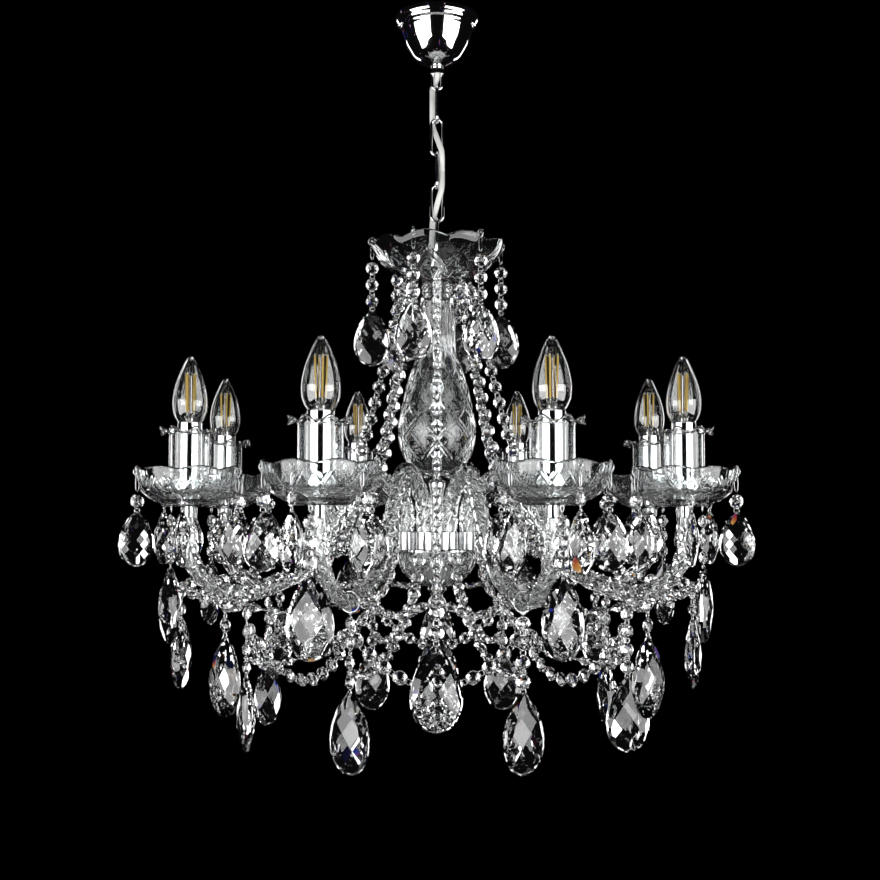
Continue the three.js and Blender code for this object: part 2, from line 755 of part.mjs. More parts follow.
// From the tenon in its ferrule, over the arch, down and up again to the plain end with the light's bore
function makeArm(angle) {
  const centres = armCurve(angle).getSpacedPoints(arm.steps);
  const last = centres.length - 1;
  centres[last - 1].setX(centres[last].x).setY(centres[last].y);
  const turnAt = (i) => (2 * Math.PI * arm.turns * i) / arm.steps;
  const rope = ringsAlong(centres, (i) => ropeSection(turnAt(i)), () => sideways(angle), false);
  const boreRadius = holeRound(tube.nippleRadius, 2 * arm.lobes);
  return lofted([
    levelRing(hub.ferruleRing, angle, plateTopZ + bury + fit, arm.tenonRadius),
    levelRing(hub.ferruleRing, angle, ferruleTopZ + fit, arm.tenonRadius),
    ...rope,
    levelRing(arm.reach, angle, armTopZ - arm.boreDepth - bury, arm.radius),
    levelRing(arm.reach, angle, armTopZ, arm.radius),
    levelRing(arm.reach, angle, armTopZ, boreRadius),
    levelRing(arm.reach, angle, armTopZ - arm.boreDepth, boreRadius),
  ], false);
}

// Lights. Each piece is made about its own axis and set at the end of its arm

function makeBobeche() {
  const rimZ = bobecheFootZ + bobeche.height;
  const seatTopZ = bobecheFootZ + bobeche.seatThickness;
  const middleZ = bobecheFootZ + bobecheMiddle.heightShare * bobeche.height;
  const outer = [[bobecheMiddle.radiusShare * bobeche.rimRadius, middleZ], [bobeche.rimRadius, rimZ]];
  const hole = holeRound(tube.nippleRadius, 6);
  const scallop = (radius, angle, z) => {
    const wave = (1 - Math.cos(bobeche.scallops * angle)) / 2;
    return [radius - bobeche.scallopDepth * wave, z - bobeche.scallopDepth * wave];
  };
  const shell = stacked([
    [hole, bobecheFootZ, 6],
    [bobeche.seatRadius, bobecheFootZ, 12],
    [...outer[0], 12],
    [...outer[1], 2 * bobeche.scallops, scallop],
    [outer[0][0] - bobeche.wall, outer[0][1] + bobeche.wall, 12],
    [bobeche.seatRadius, seatTopZ, 12],
    [hole, seatTopZ, 6],
  ]);
  const pieces = [shell];
  for (let i = 0; i < bobecheDrops.count; i += 1) {
    const angle = (2 * Math.PI * i) / bobecheDrops.count;
    const hookReach = bobeche.rimRadius - bobecheDrops.inset;
    const top = spot(hookReach, angle, heightAt(outer, hookReach) + bury);
    const faceAngle = angle + Math.PI / 2;
    pieces.push(hangingString(top, faceAngle, bobecheDrops.octagons, smallAlmond, bobecheDrops.hanger));
  }
  const strandTop = spot(bobecheStrand.reach, 0, bobecheFootZ + bury);
  pieces.push(hangingString(strandTop, 0, bobecheStrand.octagons, largeAlmond, bobecheStrand.hanger));
  return joined(pieces);
}

function makeCup() {
  const rimZ = cupFootZ + cup.height;
  const flare = cup.rimRadius - cup.radius;
  const hole = holeRound(tube.nippleRadius, 8);
  const ruffle = (radius, angle, z) => [radius, z + cup.waveHeight * Math.cos(cup.waves * angle)];
  return stacked([
    [hole, cupFootZ, 8],
    [cup.radius, cupFootZ, 8],
    [cup.radius, rimZ - flare, 8],
    [cup.rimRadius, rimZ, 2 * cup.waves, ruffle],
    [cup.radius - cup.wall, rimZ - flare, 8],
    [cup.radius - cup.wall, cupFootZ + cup.floor, 8],
    [hole, cupFootZ + cup.floor, 8],
  ]);
}

function makeTube() {
  const footZ = armTopZ - arm.boreDepth + fit;
  const socketRadius = bulb.capRadius + holder.play;
  const socketFootZ = tubeTopZ - bulb.capLength - holder.extraDepth;
  return turned([
    [0, footZ],
    [tube.nippleRadius, footZ],
    [tube.nippleRadius, tubeSeatZ],
    [tube.radius, tubeSeatZ],
    [tube.radius, tubeTopZ],
    [socketRadius, tubeTopZ],
    [socketRadius, socketFootZ],
    [0, socketFootZ],
  ], 8);
}

function makeBulb() {
  const glassZ = tubeTopZ + fit;
  const glass = bulbRadiusShares.map(
    (share, i) => [share * bulb.radius, glassZ + bulbHeightShares[i] * bulb.glassLength],
  );
  return turned([
    [0, tubeTopZ - bulb.capLength],
    [bulb.capRadius, tubeTopZ - bulb.capLength],
    [bulb.capRadius, glassZ],
    ...glass,
    [0, glassZ + bulb.glassLength],
  ], 8);
}

// Swags

// The first place on an arm, past a share of its length, that passes a test
function armStation(angle, fromShare, test) {
  const centres = armCurve(angle).getSpacedPoints(200);
  const first = Math.round(fromShare * centres.length);
  const found = centres.findIndex((point, i) => i > first && test(point));
  const way = centres[found + 1].clone().sub(centres[found - 1]).normalize();
  const down = new THREE.Vector3(0, 0, -1);
  down.addScaledVector(way, -down.dot(way)).normalize();
  const at = centres[found].clone().addScaledVector(down, hookRing.hang);
  return { at, way, ringFoot: at.clone().addScaledVector(down, armRingRadius) };
}

const armRingRadius = arm.radius + hookRing.play + hookRing.wire / 2;
const armRingReach = armRingRadius / Math.cos(Math.PI / hookRing.segments);

// Collars round the arms' low bends, with a large drop under each, swags from arm to arm, and
// strings up to the garlands' ends
function makeSwags() {
  const up = new THREE.Vector3(0, 0, 1);
  const pieces = [];
  for (let i = 0; i < armCount; i += 1) {
    const angle = firstArmAngle + i * armStep;
    const collar = armStation(angle, 0.5, (point) => Math.hypot(point.x, point.y) >= swag.reach);
    const top = collar.ringFoot;
    top.z += hookRing.wire / 2;
    const reach = Math.hypot(top.x, top.y);
    pieces.push(wireRing(collar.at, collar.way, armRingRadius, hookRing.wire));
    pieces.push(hangingString(top, angle, swag.octagons, largeAlmond, swag.hanger));
    const start = spot(reach, angle, top.z - swag.hanger - octagon.pitch);
    const end = spot(reach, angle + armStep, start.z);
    const low = spot(swag.midReach, angle + armStep / 2, top.z - swag.midDrop);
    const pull = low.multiplyScalar(2).addScaledVector(start, -0.5).addScaledVector(end, -0.5);
    pieces.push(octagonRun(new THREE.QuadraticBezierCurve3(start, pull, end), up));
    const collarReach = Math.hypot(collar.at.x, collar.at.y);
    const root = collar.at.clone().addScaledVector(sideways(angle), armRingReach);
    const nextAngle = angle + armStep;
    const nextCollar = spot(collarReach, nextAngle, collar.at.z);
    const nextRoot = nextCollar.addScaledVector(sideways(nextAngle), -armRingReach);
    const tip = spot(garland.reach + octagon.thickness + fit, angle + armStep / 2, garlandEndZ);
    const bellies = [root, nextRoot].map((end) => end.clone().add(tip).multiplyScalar(0.5));
    bellies.forEach((belly) => belly.setZ(belly.z - swag.sag));
    pieces.push(octagonRun(smooth([root, bellies[0], tip, bellies[1], nextRoot]), up));
    const plateSide = spot(hub.plateRadius + octagon.pin + fit, angle, plateFootZ + octagon.pin);
    const slope = dishString.map(([stringReach, drop]) => spot(stringReach, angle, plateFootZ - drop));
    const foot = spot(reach, angle, top.z - swag.hanger - dishStringJoin * octagon.pitch);
    pieces.push(octagonRun(smooth([plateSide, ...slope, foot]), sideways(angle)));
  }
  return joined(pieces);
}

// Materials

function metal(color, roughness) {
  return () => new THREE.MeshStandardMaterial({ color, roughness, metalness: 1 });
}

function clearGlass(color, roughness) {
  return () => new THREE.MeshStandardMaterial({ color, roughness, metalness: 0 });
}

const chrome = metal(0xd9dbdd, 0.08);
const steel = metal(0xa7a9ab, 0.35);
const crystal = clearGlass(0xeef1f3, 0.03);
const glass = clearGlass(0xe4e8ea, 0.05);
const cableSkin = clearGlass(0xe9e9e4, 0.35);
const blockPlastic = clearGlass(0xf2f1ec, 0.5);

// Assembly

const chandelier = new THREE.Group();

function addPiece(name, body, material, parent = chandelier) {
  const mesh = new THREE.Mesh(geometryOf(body), material());
  mesh.name = name;
  parent.add(mesh);
}

addPiece('ceiling_bracket', makeBracket(), steel);
addPiece('terminal_block', makeTerminalBlock(), blockPlastic);
addPiece('canopy_shell', makeCanopyShell(), chrome);
addPiece('canopy_loop', makeCanopyLoop(), chrome);
for (let number = 1; number <= link.count; number += 1) {
  addPiece(`chain_link_${number}`, makeLink(number), chrome);
}
addPiece('supply_cable', makeCable(), cableSkin);
addPiece('column_rod', makeRod(), chrome);
addPiece('top_bowl', makeTopBowl(), crystal);
addPiece('crown_garlands', makeCrown(), crystal);
addPiece('baluster', makeBaluster(), glass);
addPiece('arm_hub', makeArmHub(), chrome);
addPiece('hub_dish', makeHubDish(), glass);
addPiece('finial', makeFinial(), chrome);
addPiece('centre_drop', makeCentreDrop(), crystal);

const bobecheBody = makeBobeche();
const cupBody = makeCup();
const tubeBody = makeTube();
const bulbBody = makeBulb();

for (let i = 0; i < armCount; i += 1) {
  const angle = firstArmAngle + i * armStep;
  const place = new THREE.Group();
  place.position.copy(spot(arm.reach, angle, 0));
  place.rotation.z = angle;
  chandelier.add(place);
  addPiece(`arm_${i + 1}`, makeArm(angle), glass);
  addPiece(`bobeche_${i + 1}`, bobecheBody, crystal, place);
  addPiece(`candle_cup_${i + 1}`, cupBody, glass, place);
  addPiece(`candle_tube_${i + 1}`, tubeBody, chrome, place);
  addPiece(`bulb_${i + 1}`, bulbBody, glass, place);
}

addPiece('arm_swags', makeSwags(), crystal);

export default chandelier;
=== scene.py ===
"""Looks of the crystal chandelier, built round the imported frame.

Lengths are in millimetres until a mesh is made.
"""

import math

import bmesh
import bpy
import numpy as np
from mathutils import Matrix, Vector


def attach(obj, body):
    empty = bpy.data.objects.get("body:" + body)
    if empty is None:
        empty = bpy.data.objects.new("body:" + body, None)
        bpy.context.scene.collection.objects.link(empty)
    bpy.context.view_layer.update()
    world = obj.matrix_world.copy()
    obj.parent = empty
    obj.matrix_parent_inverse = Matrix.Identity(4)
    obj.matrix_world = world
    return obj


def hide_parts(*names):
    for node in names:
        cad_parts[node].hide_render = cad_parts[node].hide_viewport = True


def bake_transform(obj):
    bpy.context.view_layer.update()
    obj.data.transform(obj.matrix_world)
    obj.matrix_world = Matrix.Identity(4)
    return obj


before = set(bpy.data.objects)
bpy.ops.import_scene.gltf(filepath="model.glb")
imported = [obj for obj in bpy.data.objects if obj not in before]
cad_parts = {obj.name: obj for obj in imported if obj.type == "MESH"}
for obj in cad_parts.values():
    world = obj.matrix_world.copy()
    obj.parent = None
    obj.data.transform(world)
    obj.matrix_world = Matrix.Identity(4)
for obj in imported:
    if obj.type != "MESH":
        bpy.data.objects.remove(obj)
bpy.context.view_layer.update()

MM = 0.001
TURN = 2 * math.pi
AXIS = 0.01  # radius of a turned skin's end on its axis


# Camera, from the photo's own vanishing and the object's size


def make_camera():
    data = bpy.data.cameras.new("camera")
    data.lens, data.sensor_width = 50.77, 36
    data.clip_start, data.clip_end = 0.05, 50
    camera = bpy.data.objects.new("camera", data)
    camera.location = (0.0032, -1.3555, -0.5551)
    camera.rotation_euler = (math.pi / 2 + 0.061, 0, 0)
    bpy.context.scene.collection.objects.link(camera)
    bpy.context.scene.camera = camera


make_camera()


# Sizes, as in the part's own source

ARMS = 8
FIRST_ARM = math.pi / ARMS
ARM_STEP = TURN / ARMS
FIT = 0.3
CABLE_RADIUS = 3
LINK_WIRE, LINK_LENGTH, LINK_WIDTH, LINK_PLAY, LINKS = 3.2, 44, 16, 0.4, 5
STEM_FOOT = -56
COLLAR_FOOT = STEM_FOOT - 8.3
LOOP_WIRE = COLLAR_FOOT - 17.5
HANG_PITCH = LINK_WIRE + LINK_PLAY
LINK_PITCH = LINK_LENGTH - LINK_WIRE - HANG_PITCH
FIRST_LINK_TOP = LOOP_WIRE + HANG_PITCH
EYE_WIRE = FIRST_LINK_TOP - LINKS * LINK_PITCH
COLUMN_COLLAR_TOP = EYE_WIRE - 17.5
BOWL_SEAT = EYE_WIRE - 31.6
BOWL_FOOT = BOWL_SEAT - 3.5
CROWN_TOP = BOWL_FOOT - FIT
NECK_FOOT = CROWN_TOP - 19
BALUSTER_TOP = NECK_FOOT - FIT
BALUSTER_HEIGHT = 200
BALUSTER_FOOT = BALUSTER_TOP - BALUSTER_HEIGHT
HUB_TOP = BALUSTER_FOOT - FIT
PLATE_TOP = HUB_TOP - 72
PLATE_FOOT = PLATE_TOP - 3
FERRULE_TOP = PLATE_TOP + 19
DISH_TOP = PLATE_FOOT - FIT
DISH_HEIGHT = 38
DISH_FOOT = DISH_TOP - DISH_HEIGHT
FINIAL_TOP = DISH_FOOT - FIT
FINIAL_FOOT = FINIAL_TOP - 36
ARM_TOP = FERRULE_TOP + 26
BOBECHE_FOOT = ARM_TOP + FIT
CUP_FOOT = BOBECHE_FOOT + 6 + FIT
TUBE_SEAT = CUP_FOOT + 3 + FIT
TUBE_TOP = TUBE_SEAT + 75
BOWL_HEIGHT, BOBECHE_HEIGHT, CUP_HEIGHT, BULB_HEIGHT = 44, 39, 69, 67.5
ARM_REACH = 270
FERRULE_RING = 35
GARLAND_REACH, GARLAND_DROP = 277, 330
GARLAND_END = CROWN_TOP - GARLAND_DROP
OCTAGON_WIDTH, OCTAGON_THICKNESS, PITCH = 14, 8, 18
SMALL_ALMOND = (55, 35, 14)
BOWL_ALMOND = (62, 39, 15)
LARGE_ALMOND = (76, 46, 17)
PIPE_WAY, ARM_BORE = 5.6, 2.2


# Shapes: a shape is a pair of an array of points and a list of faces


def merge(shapes):
    points, faces, start = [], [], 0
    for shape_points, shape_faces in shapes:
        points.append(shape_points)
        faces.extend([tuple(start + i for i in face) for face in shape_faces])
        start += len(shape_points)
    return np.vstack(points), faces


def moved(shape, matrix):
    points, faces = shape
    m = np.array(matrix, float)
    return points @ m[:3, :3].T + m[:3, 3], faces


def frame_at(origin, x_way, y_way, z_way):
    matrix = Matrix.Identity(4)
    for i, way in enumerate((x_way, y_way, z_way, origin)):
        for j in range(3):
            matrix[j][i] = way[j]
    return matrix


def grid(rings, loop=False, caps=False):
    """Faces between closed rings of equal point counts. loop joins the last ring to the first."""
    rings = np.array(rings, float)
    count, sides = rings.shape[:2]
    faces = []
    for i in range(count if loop else count - 1):
        after = (i + 1) % count
        for j in range(sides):
            k = (j + 1) % sides
            faces.append((i * sides + j, i * sides + k, after * sides + k, after * sides + j))
    if caps:
        faces.append(tuple(reversed(range(sides))))
        faces.append(tuple(range((count - 1) * sides, count * sides)))
    return rings.reshape(-1, 3), faces


def lathe(profile, sides, rule=None, loop=True):
    """A turned skin. rule(radius, angles, z) gives the radius and height at each angle."""
    angles = np.arange(sides) * TURN / sides
    rings = []
    for radius, z in profile:
        radii, heights = np.full(sides, float(radius)), np.full(sides, float(z))
        if rule and radius > AXIS:
            radii, heights = rule(radii, angles, heights)
        rings.append(np.stack([radii * np.cos(angles), radii * np.sin(angles), heights], axis=1))
    return grid(rings, loop)


def vessel(skin, lining, sides):
    """An outer and an inner skin, joined at the rim and at the foot."""
    points, faces = merge([skin, lining])
    rim, foot = len(skin[0]) - sides, len(points) - sides
    for j in range(sides):
        k = (j + 1) % sides
        faces.append((rim + j, rim + k, rim + sides + k, rim + sides + j))
        faces.append((foot + j, foot + k, k, j))
    return points, faces


def eased(profile, per_span=6):
    """A smooth profile through a list of [radius, z]."""
    points = catmull([(r, z, 0) for r, z in profile], per_span)
    return [(p[0], p[1]) for p in points]


def catmull(points, per_span=16, loop=False):
    """The centripetal curve through points, as the part's source draws it."""
    p = [np.array(q, float) for q in points]
    if loop:
        p = [p[-1]] + p + [p[0], p[1]]
    else:
        p = [2 * p[0] - p[1]] + p + [2 * p[-1] - p[-2]]
    out = []
    for i in range(1, len(p) - 2):
        d = [max(np.linalg.norm(p[i + k] - p[i + k - 1]), 1e-4) ** 0.5 for k in range(3)]
        start = (p[i] - p[i - 1]) / d[0] - (p[i + 1] - p[i - 1]) / (d[0] + d[1]) + (p[i + 1] - p[i]) / d[1]
        end = (p[i + 1] - p[i]) / d[1] - (p[i + 2] - p[i]) / (d[1] + d[2]) + (p[i + 2] - p[i + 1]) / d[2]
        start, end = start * d[1], end * d[1]
        for t in np.arange(per_span) / per_span:
            a = 2 * t**3 - 3 * t**2 + 1
            b = t**3 - 2 * t**2 + t
            out.append(a * p[i] + b * start + (1 - a) * p[i + 1] + (t**3 - t**2) * end)
    if not loop:
        out.append(p[-2])
    return np.array(out)


def spaced(path, count):
    """count + 1 points an equal way apart along a path, and its length."""
    path = np.array(path, float)
    steps = np.linalg.norm(np.diff(path, axis=0), axis=1)
    along = np.concatenate([[0], np.cumsum(steps)])
    wanted = np.linspace(0, along[-1], count + 1)
    return np.stack([np.interp(wanted, along, path[:, k]) for k in range(3)], axis=1), along[-1]


def unit(v):
    return v / max(np.linalg.norm(v), 1e-9)


def path_frames(path, side, loop=False):
    """At each point of a path: its way, a first axis near side, and a second one."""
    path = np.array(path, float)
    count = len(path)
    out = []
    for i in range(count):
        before = path[(i - 1) % count] if loop else path[max(i - 1, 0)]
        after = path[(i + 1) % count] if loop else path[min(i + 1, count - 1)]
        way = unit(after - before)
        first = np.array(side, float)
        first = unit(first - way * first.dot(way))
        out.append((way, first, np.cross(way, first)))
    return out


def tube(path, radius, sides=12, side=(1, 0, 0), loop=False, section=None, caps=True):
    """A skin round a path. radius is a number or one for each point; section(i) gives its own outline."""
    frames = path_frames(path, side, loop)
    angles = np.arange(sides) * TURN / sides
    rings = []
    for i, (way, first, second) in enumerate(frames):
        if section:
            u, v = section(i)
        else:
            r = radius if np.isscalar(radius) else radius[i]
            u, v = r * np.cos(angles), r * np.sin(angles)
        rings.append(np.array(path[i]) + np.outer(u, first) + np.outer(v, second))
    return grid(rings, loop, caps and not loop)


def ring(centre, axis, radius, wire, segments=14, sides=6, stretch=1.0):
    """A ring of wire, square to axis. stretch lengthens it up and down."""
    axis = unit(np.array(axis, float))
    across = np.cross((0, 0, 1), axis)
    across = unit(across) if np.linalg.norm(across) > 0.1 else np.array((1.0, 0, 0))
    along = np.cross(axis, across)
    turns = np.arange(segments) * TURN / segments
    centre = np.array(centre)
    path = [centre + radius * (math.cos(t) * across + stretch * math.sin(t) * along) for t in turns]
    return tube(path, wire / 2, sides, axis, True)


def spot(reach, angle, z):
    return np.array([reach * math.sin(angle), -reach * math.cos(angle), z])


def sideways(angle):
    return np.array([math.cos(angle), math.sin(angle), 0])


def hull(points, flat=1.0):
    """The closed skin round points, with each flat facet as one face."""
    bm = bmesh.new()
    for p in points:
        bm.verts.new(p)
    made = bmesh.ops.convex_hull(bm, input=bm.verts)
    loose = [v for v in bm.verts if not v.link_faces]
    bmesh.ops.delete(bm, geom=loose, context="VERTS")
    bmesh.ops.dissolve_limit(bm, angle_limit=math.radians(flat), verts=bm.verts, edges=bm.edges)
    bm.verts.index_update()
    out = np.array([v.co[:] for v in bm.verts]), [tuple(v.index for v in f.verts) for f in bm.faces]
    bm.free()
    return out


# Crystals


def make_octagon():
    """An octagon bead with table, star and girdle facets, its width along X. Its holes aren't cut."""
    half, thick = OCTAGON_WIDTH / 2, OCTAGON_THICKNESS / 2
    eighth = TURN / 8
    rings = ((0.34, 1, eighth / 2), (0.72, 0.62, 0), (1, 0.16, eighth / 2), (0.985, 0.14, 0))
    points = []
    for sign in (-1, 1):
        for i in range(8):
            for reach, level, turn in rings:
                a = eighth * (i + 0.5) + turn
                points.append((reach * half * math.cos(a), sign * thick * level, reach * half * math.sin(a)))
    return hull(points)


def cut_solid(planes):
    """The solid inside planes round the origin, each given as a way out and a point."""
    dual, faces = hull([np.array(n) / np.dot(n, p) for n, p in planes], 0.001)
    corners = []
    for face in faces:
        a, b, c = (dual[i] for i in face[:3])
        way = np.cross(b - a, c - a)
        if abs(way.dot(a)) > 1e-12:
            corners.append(way / way.dot(a))
    return hull(np.unique(np.round(corners, 2), axis=0), 0.7)


def make_almond(size):
    """A pear-shaped drop below the origin: lozenges on both faces, a bevelled rim and a thin girdle."""
    length, width, thickness = size
    up, down, half = 0.62 * length, 0.38 * length, width / 2
    wide, tall, middle = 0.2 * width, 0.165 * length, 0.1 * length
    top, bevels = thickness / 2, 22
    bow = 0.6 * top / half**2
    arch = bow * (wide / tall) ** 2

    def edge(a):
        v = math.sin(a)
        if v > 0:
            return np.array((math.copysign((1 - v**1.9) ** 0.8, math.cos(a)) * half, 0, v * up))
        return np.array((math.cos(a) * half, 0, v * down))

    planes = []
    for sign in (-1, 1):
        for i in range(-3, 4):
            for j in range(-4, 5):
                x, z = i * wide, j * tall + middle
                y = top - bow * x * x - arch * (j * tall) ** 2
                if (i + j + (sign > 0)) % 2 == 0 and y > 0.2 * top:
                    planes.append(((2 * bow * x, sign, 2 * arch * j * tall), (x, sign * y, z)))
        for k in range(bevels):
            a = TURN * (k + 0.5 + 0.5 * (sign > 0)) / bevels
            at = edge(a) + (0, sign * 0.13 * top, 0)
            out = edge(a + 0.02) - edge(a - 0.02)
            planes.append((unit(np.array((out[2], 0, -out[0]))) + (0, sign * 1.15, 0), at))
    for k in range(2 * bevels):
        a = TURN * (k + 0.5) / (2 * bevels)
        out = edge(a + 0.02) - edge(a - 0.02)
        planes.append((unit(np.array((out[2], 0, -out[0]))), edge(a)))
    points, faces = cut_solid(planes)
    points[:, 2] -= points[:, 2].max()
    return points, faces


OCTAGON = make_octagon()
ALMONDS = {size: make_almond(size) for size in (SMALL_ALMOND, BOWL_ALMOND, LARGE_ALMOND)}
PIN = merge([
    ring((0, 0, 0), (0, 1, 0), 2.6, 0.8, 10, 4, 1.25),
    tube([(0, -0.9, -2.2), (0, 0.9, -2.2)], 0.9, 6, (1, 0, 0)),
    tube([(0, -0.9, 2.2), (0, 0.9, 2.2)], 0.9, 6, (1, 0, 0)),
])


def turn_of(seed, most):
    """A turn that differs from bead to bead and is the same each run."""
    return math.radians(most) * math.sin(seed * 12.9898 + 4.1)


def bead_frame(centre, down, face, seed, most=16):
    """Places a bead: its Z against down, its Y near face, turned a little about Z."""
    z_way = -unit(np.array(down, float))
    y_way = np.array(face, float)
    y_way = unit(y_way - z_way * y_way.dot(z_way))
    x_way = np.cross(y_way, z_way)
    return frame_at(centre, x_way, y_way, z_way) @ Matrix.Rotation(turn_of(seed, most), 4, "Z")


def bead_run(path, face, seed, ends=(True, True)):
    """Octagons a pitch apart along a path, and the pins between them."""
    length = spaced(path, 1)[1]
    count = max(1, round(length / PITCH))
    points, _ = spaced(path, 2 * count)
    beads, pins = [], []
    for i, (way, _, _) in enumerate(path_frames(points, face)):
        place = bead_frame(points[i], way, face, seed + 1.7 * i)
        if i % 2:
            beads.append(moved(OCTAGON, place))
        elif (i > 0 or ends[0]) and (i < 2 * count or ends[1]):
            pins.append(moved(PIN, place))
    return beads, pins


def hanging(top, face, octagons, almond, seed, hanger=0):
    """A string that hangs straight down: ring, octagons with their pins, almond."""
    down = np.array((0, 0, -1.0))
    beads, pins = [], [moved(PIN, bead_frame(top, down, face, seed))]
    if hanger:
        pins.append(ring(np.array(top) + down * hanger / 2, face, 1.8, 0.8, 10, 4, hanger / 3.6))
    start = np.array(top, float) + down * hanger
    for i in range(octagons):
        beads.append(moved(OCTAGON, bead_frame(start + down * (i + 0.5) * PITCH, down, face, seed + i)))
        pins.append(moved(PIN, bead_frame(start + down * (i + 1) * PITCH, down, face, seed + i)))
    place = bead_frame(start + down * octagons * PITCH, down, face, seed + 9, 10)
    beads.append(moved(ALMONDS[almond], place))
    return beads, pins


# Materials


def material(name, color, roughness, **sockets):
    made = bpy.data.materials.new(name)
    made.use_nodes = True
    shader = made.node_tree.nodes["Principled BSDF"]
    shader.inputs["Base Color"].default_value = (*color, 1)
    shader.inputs["Roughness"].default_value = roughness
    for key, value in sockets.items():
        shader.inputs[key.replace("_", " ")].default_value = value
    return made


def add_noise(made, scale, low, high, bump=0.0, bump_scale=None):
    """Lets noise vary the roughness between two values, and bumps the surface."""
    tree = made.node_tree
    shader = tree.nodes["Principled BSDF"]
    place = tree.nodes.new("ShaderNodeTexCoord")
    noise = tree.nodes.new("ShaderNodeTexNoise")
    noise.inputs["Scale"].default_value = scale
    noise.inputs["Detail"].default_value = 3
    tree.links.new(place.outputs["Object"], noise.inputs["Vector"])
    span = tree.nodes.new("ShaderNodeMapRange")
    span.inputs["To Min"].default_value, span.inputs["To Max"].default_value = low, high
    tree.links.new(noise.outputs["Fac"], span.inputs["Value"])
    tree.links.new(span.outputs["Result"], shader.inputs["Roughness"])
    if bump:
        fine = tree.nodes.new("ShaderNodeTexNoise")
        fine.inputs["Scale"].default_value = bump_scale or scale
        fine.inputs["Detail"].default_value = 2
        tree.links.new(place.outputs["Object"], fine.inputs["Vector"])
        lift = tree.nodes.new("ShaderNodeBump")
        lift.inputs["Strength"].default_value = bump
        lift.inputs["Distance"].default_value = 0.001
        tree.links.new(fine.outputs["Fac"], lift.inputs["Height"])
        tree.links.new(lift.outputs["Normal"], shader.inputs["Normal"])
    return made


def glass(name, color, ior, low, high, bump, bump_scale):
    made = material(name, color, low, IOR=ior, Transmission_Weight=1.0)
    return add_noise(made, 40, low, high, bump, bump_scale)


CHROME = add_noise(material("chrome", (0.86, 0.865, 0.87), 0.06, Metallic=1.0), 30, 0.03, 0.09, 0.02, 220)
WIRE = add_noise(material("pin_wire", (0.8, 0.81, 0.82), 0.12, Metallic=1.0), 200, 0.08, 0.2, 0.02, 900)
STEEL = add_noise(material("zinc_steel", (0.62, 0.63, 0.64), 0.35, Metallic=1.0), 60, 0.28, 0.5, 0.15, 500)
CRYSTAL = glass("cut_crystal", (0.985, 0.99, 0.99), 1.6, 0.0, 0.01, 0.0, 1)
CUT_GLASS = glass("cut_glass", (0.97, 0.985, 0.985), 1.54, 0.0, 0.03, 0.03, 120)
ARM_GLASS = glass("twisted_glass", (0.97, 0.985, 0.98), 1.52, 0.0, 0.04, 0.02, 160)
BULB_GLASS = glass("bulb_glass", (0.995, 0.995, 0.99), 1.65, 0.0, 0.01, 0.01, 60)
SHEATH = add_noise(material("cable_sheath", (0.84, 0.84, 0.81), 0.3, Coat_Weight=0.2),
                   90, 0.25, 0.42, 0.06, 600)
BLOCK = add_noise(material("terminal_plastic", (0.88, 0.87, 0.83), 0.45), 80, 0.4, 0.55, 0.08, 500)
FILAMENT = add_noise(material("filament", (1.0, 0.7, 0.17), 0.4), 900, 0.35, 0.6, 0.3, 3000)
CAP = add_noise(material("lamp_cap", (0.8, 0.8, 0.8), 0.2, Metallic=1.0), 90, 0.12, 0.3, 0.05, 400)


# Pieces


def as_mesh(name, shape, smooth):
    points, faces = shape
    mesh = bpy.data.meshes.new(name)
    mesh.from_pydata((points * MM).tolist(), [], faces)
    mesh.validate()
    mesh.polygons.foreach_set("use_smooth", [smooth] * len(mesh.polygons))
    bm = bmesh.new()
    bm.from_mesh(mesh)
    bmesh.ops.recalc_face_normals(bm, faces=bm.faces)
    bm.to_mesh(mesh)
    bm.free()
    return mesh


def piece(name, shape, finish, body, replaced=(), smooth=True, place=None, mesh=None, sharp=None):
    mesh = mesh or as_mesh(name, shape, smooth)
    if sharp is not None:
        mesh.set_sharp_from_angle(angle=math.radians(sharp))
    if not mesh.materials:
        mesh.materials.append(finish)
    made = bpy.data.objects.new(name, mesh)
    bpy.context.scene.collection.objects.link(made)
    if place is not None:
        made.matrix_world = place
    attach(made, body)
    if replaced:
        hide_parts(*replaced)
    return made


def arm_place(i):
    """Where what is built about an arm's light goes."""
    angle = FIRST_ARM + i * ARM_STEP
    return Matrix.Translation(Vector(spot(ARM_REACH, angle, 0) * MM)) @ Matrix.Rotation(angle, 4, "Z")


def arm_turn(i):
    """Where what is built for the front, at angle 0, goes."""
    return Matrix.Rotation(FIRST_ARM + i * ARM_STEP, 4, "Z")


# Canopy, loop and chain


def make_canopy():
    outer = eased([(46.3, 0), (46.1, -2.5), (45.6, -5.5), (43.6, -8.8), (42.9, -10.5), (41.6, -11.6),
                   (40.3, -12.2), (39.7, -13.8), (38.9, -17), (36.8, -23.5), (34.2, -30.7), (29.9, -38.5),
                   (24.7, -46.3), (19.5, -50.6), (13.5, -53.4), (8.4, -55.6)], 4)
    inner = [(max(r - 1.4, 6.4), z + 0.8) for r, z in reversed(outer[4:])]
    inner.append((44.8, 0))
    shape = lathe(outer + [(6.4, -55.7)] + inner, 96)
    piece("canopy", shape, CHROME, "ceiling", ["canopy_shell"], sharp=50)


def make_bail(face_z, wire_z, way):
    """The bent wire of loop and eye. way is 1 where it points up and -1 where it points down."""
    half, sunk = 5.2, 1.5
    bend = wire_z - way * half
    path = [(-half, 0, face_z - way * sunk)]
    path += [(-half * math.cos(t), 0, bend + way * half * math.sin(t)) for t in np.linspace(0, math.pi, 17)]
    path += [(half, 0, face_z - way * sunk)]
    return tube(path, LINK_WIRE / 2, 12, (0, 1, 0))


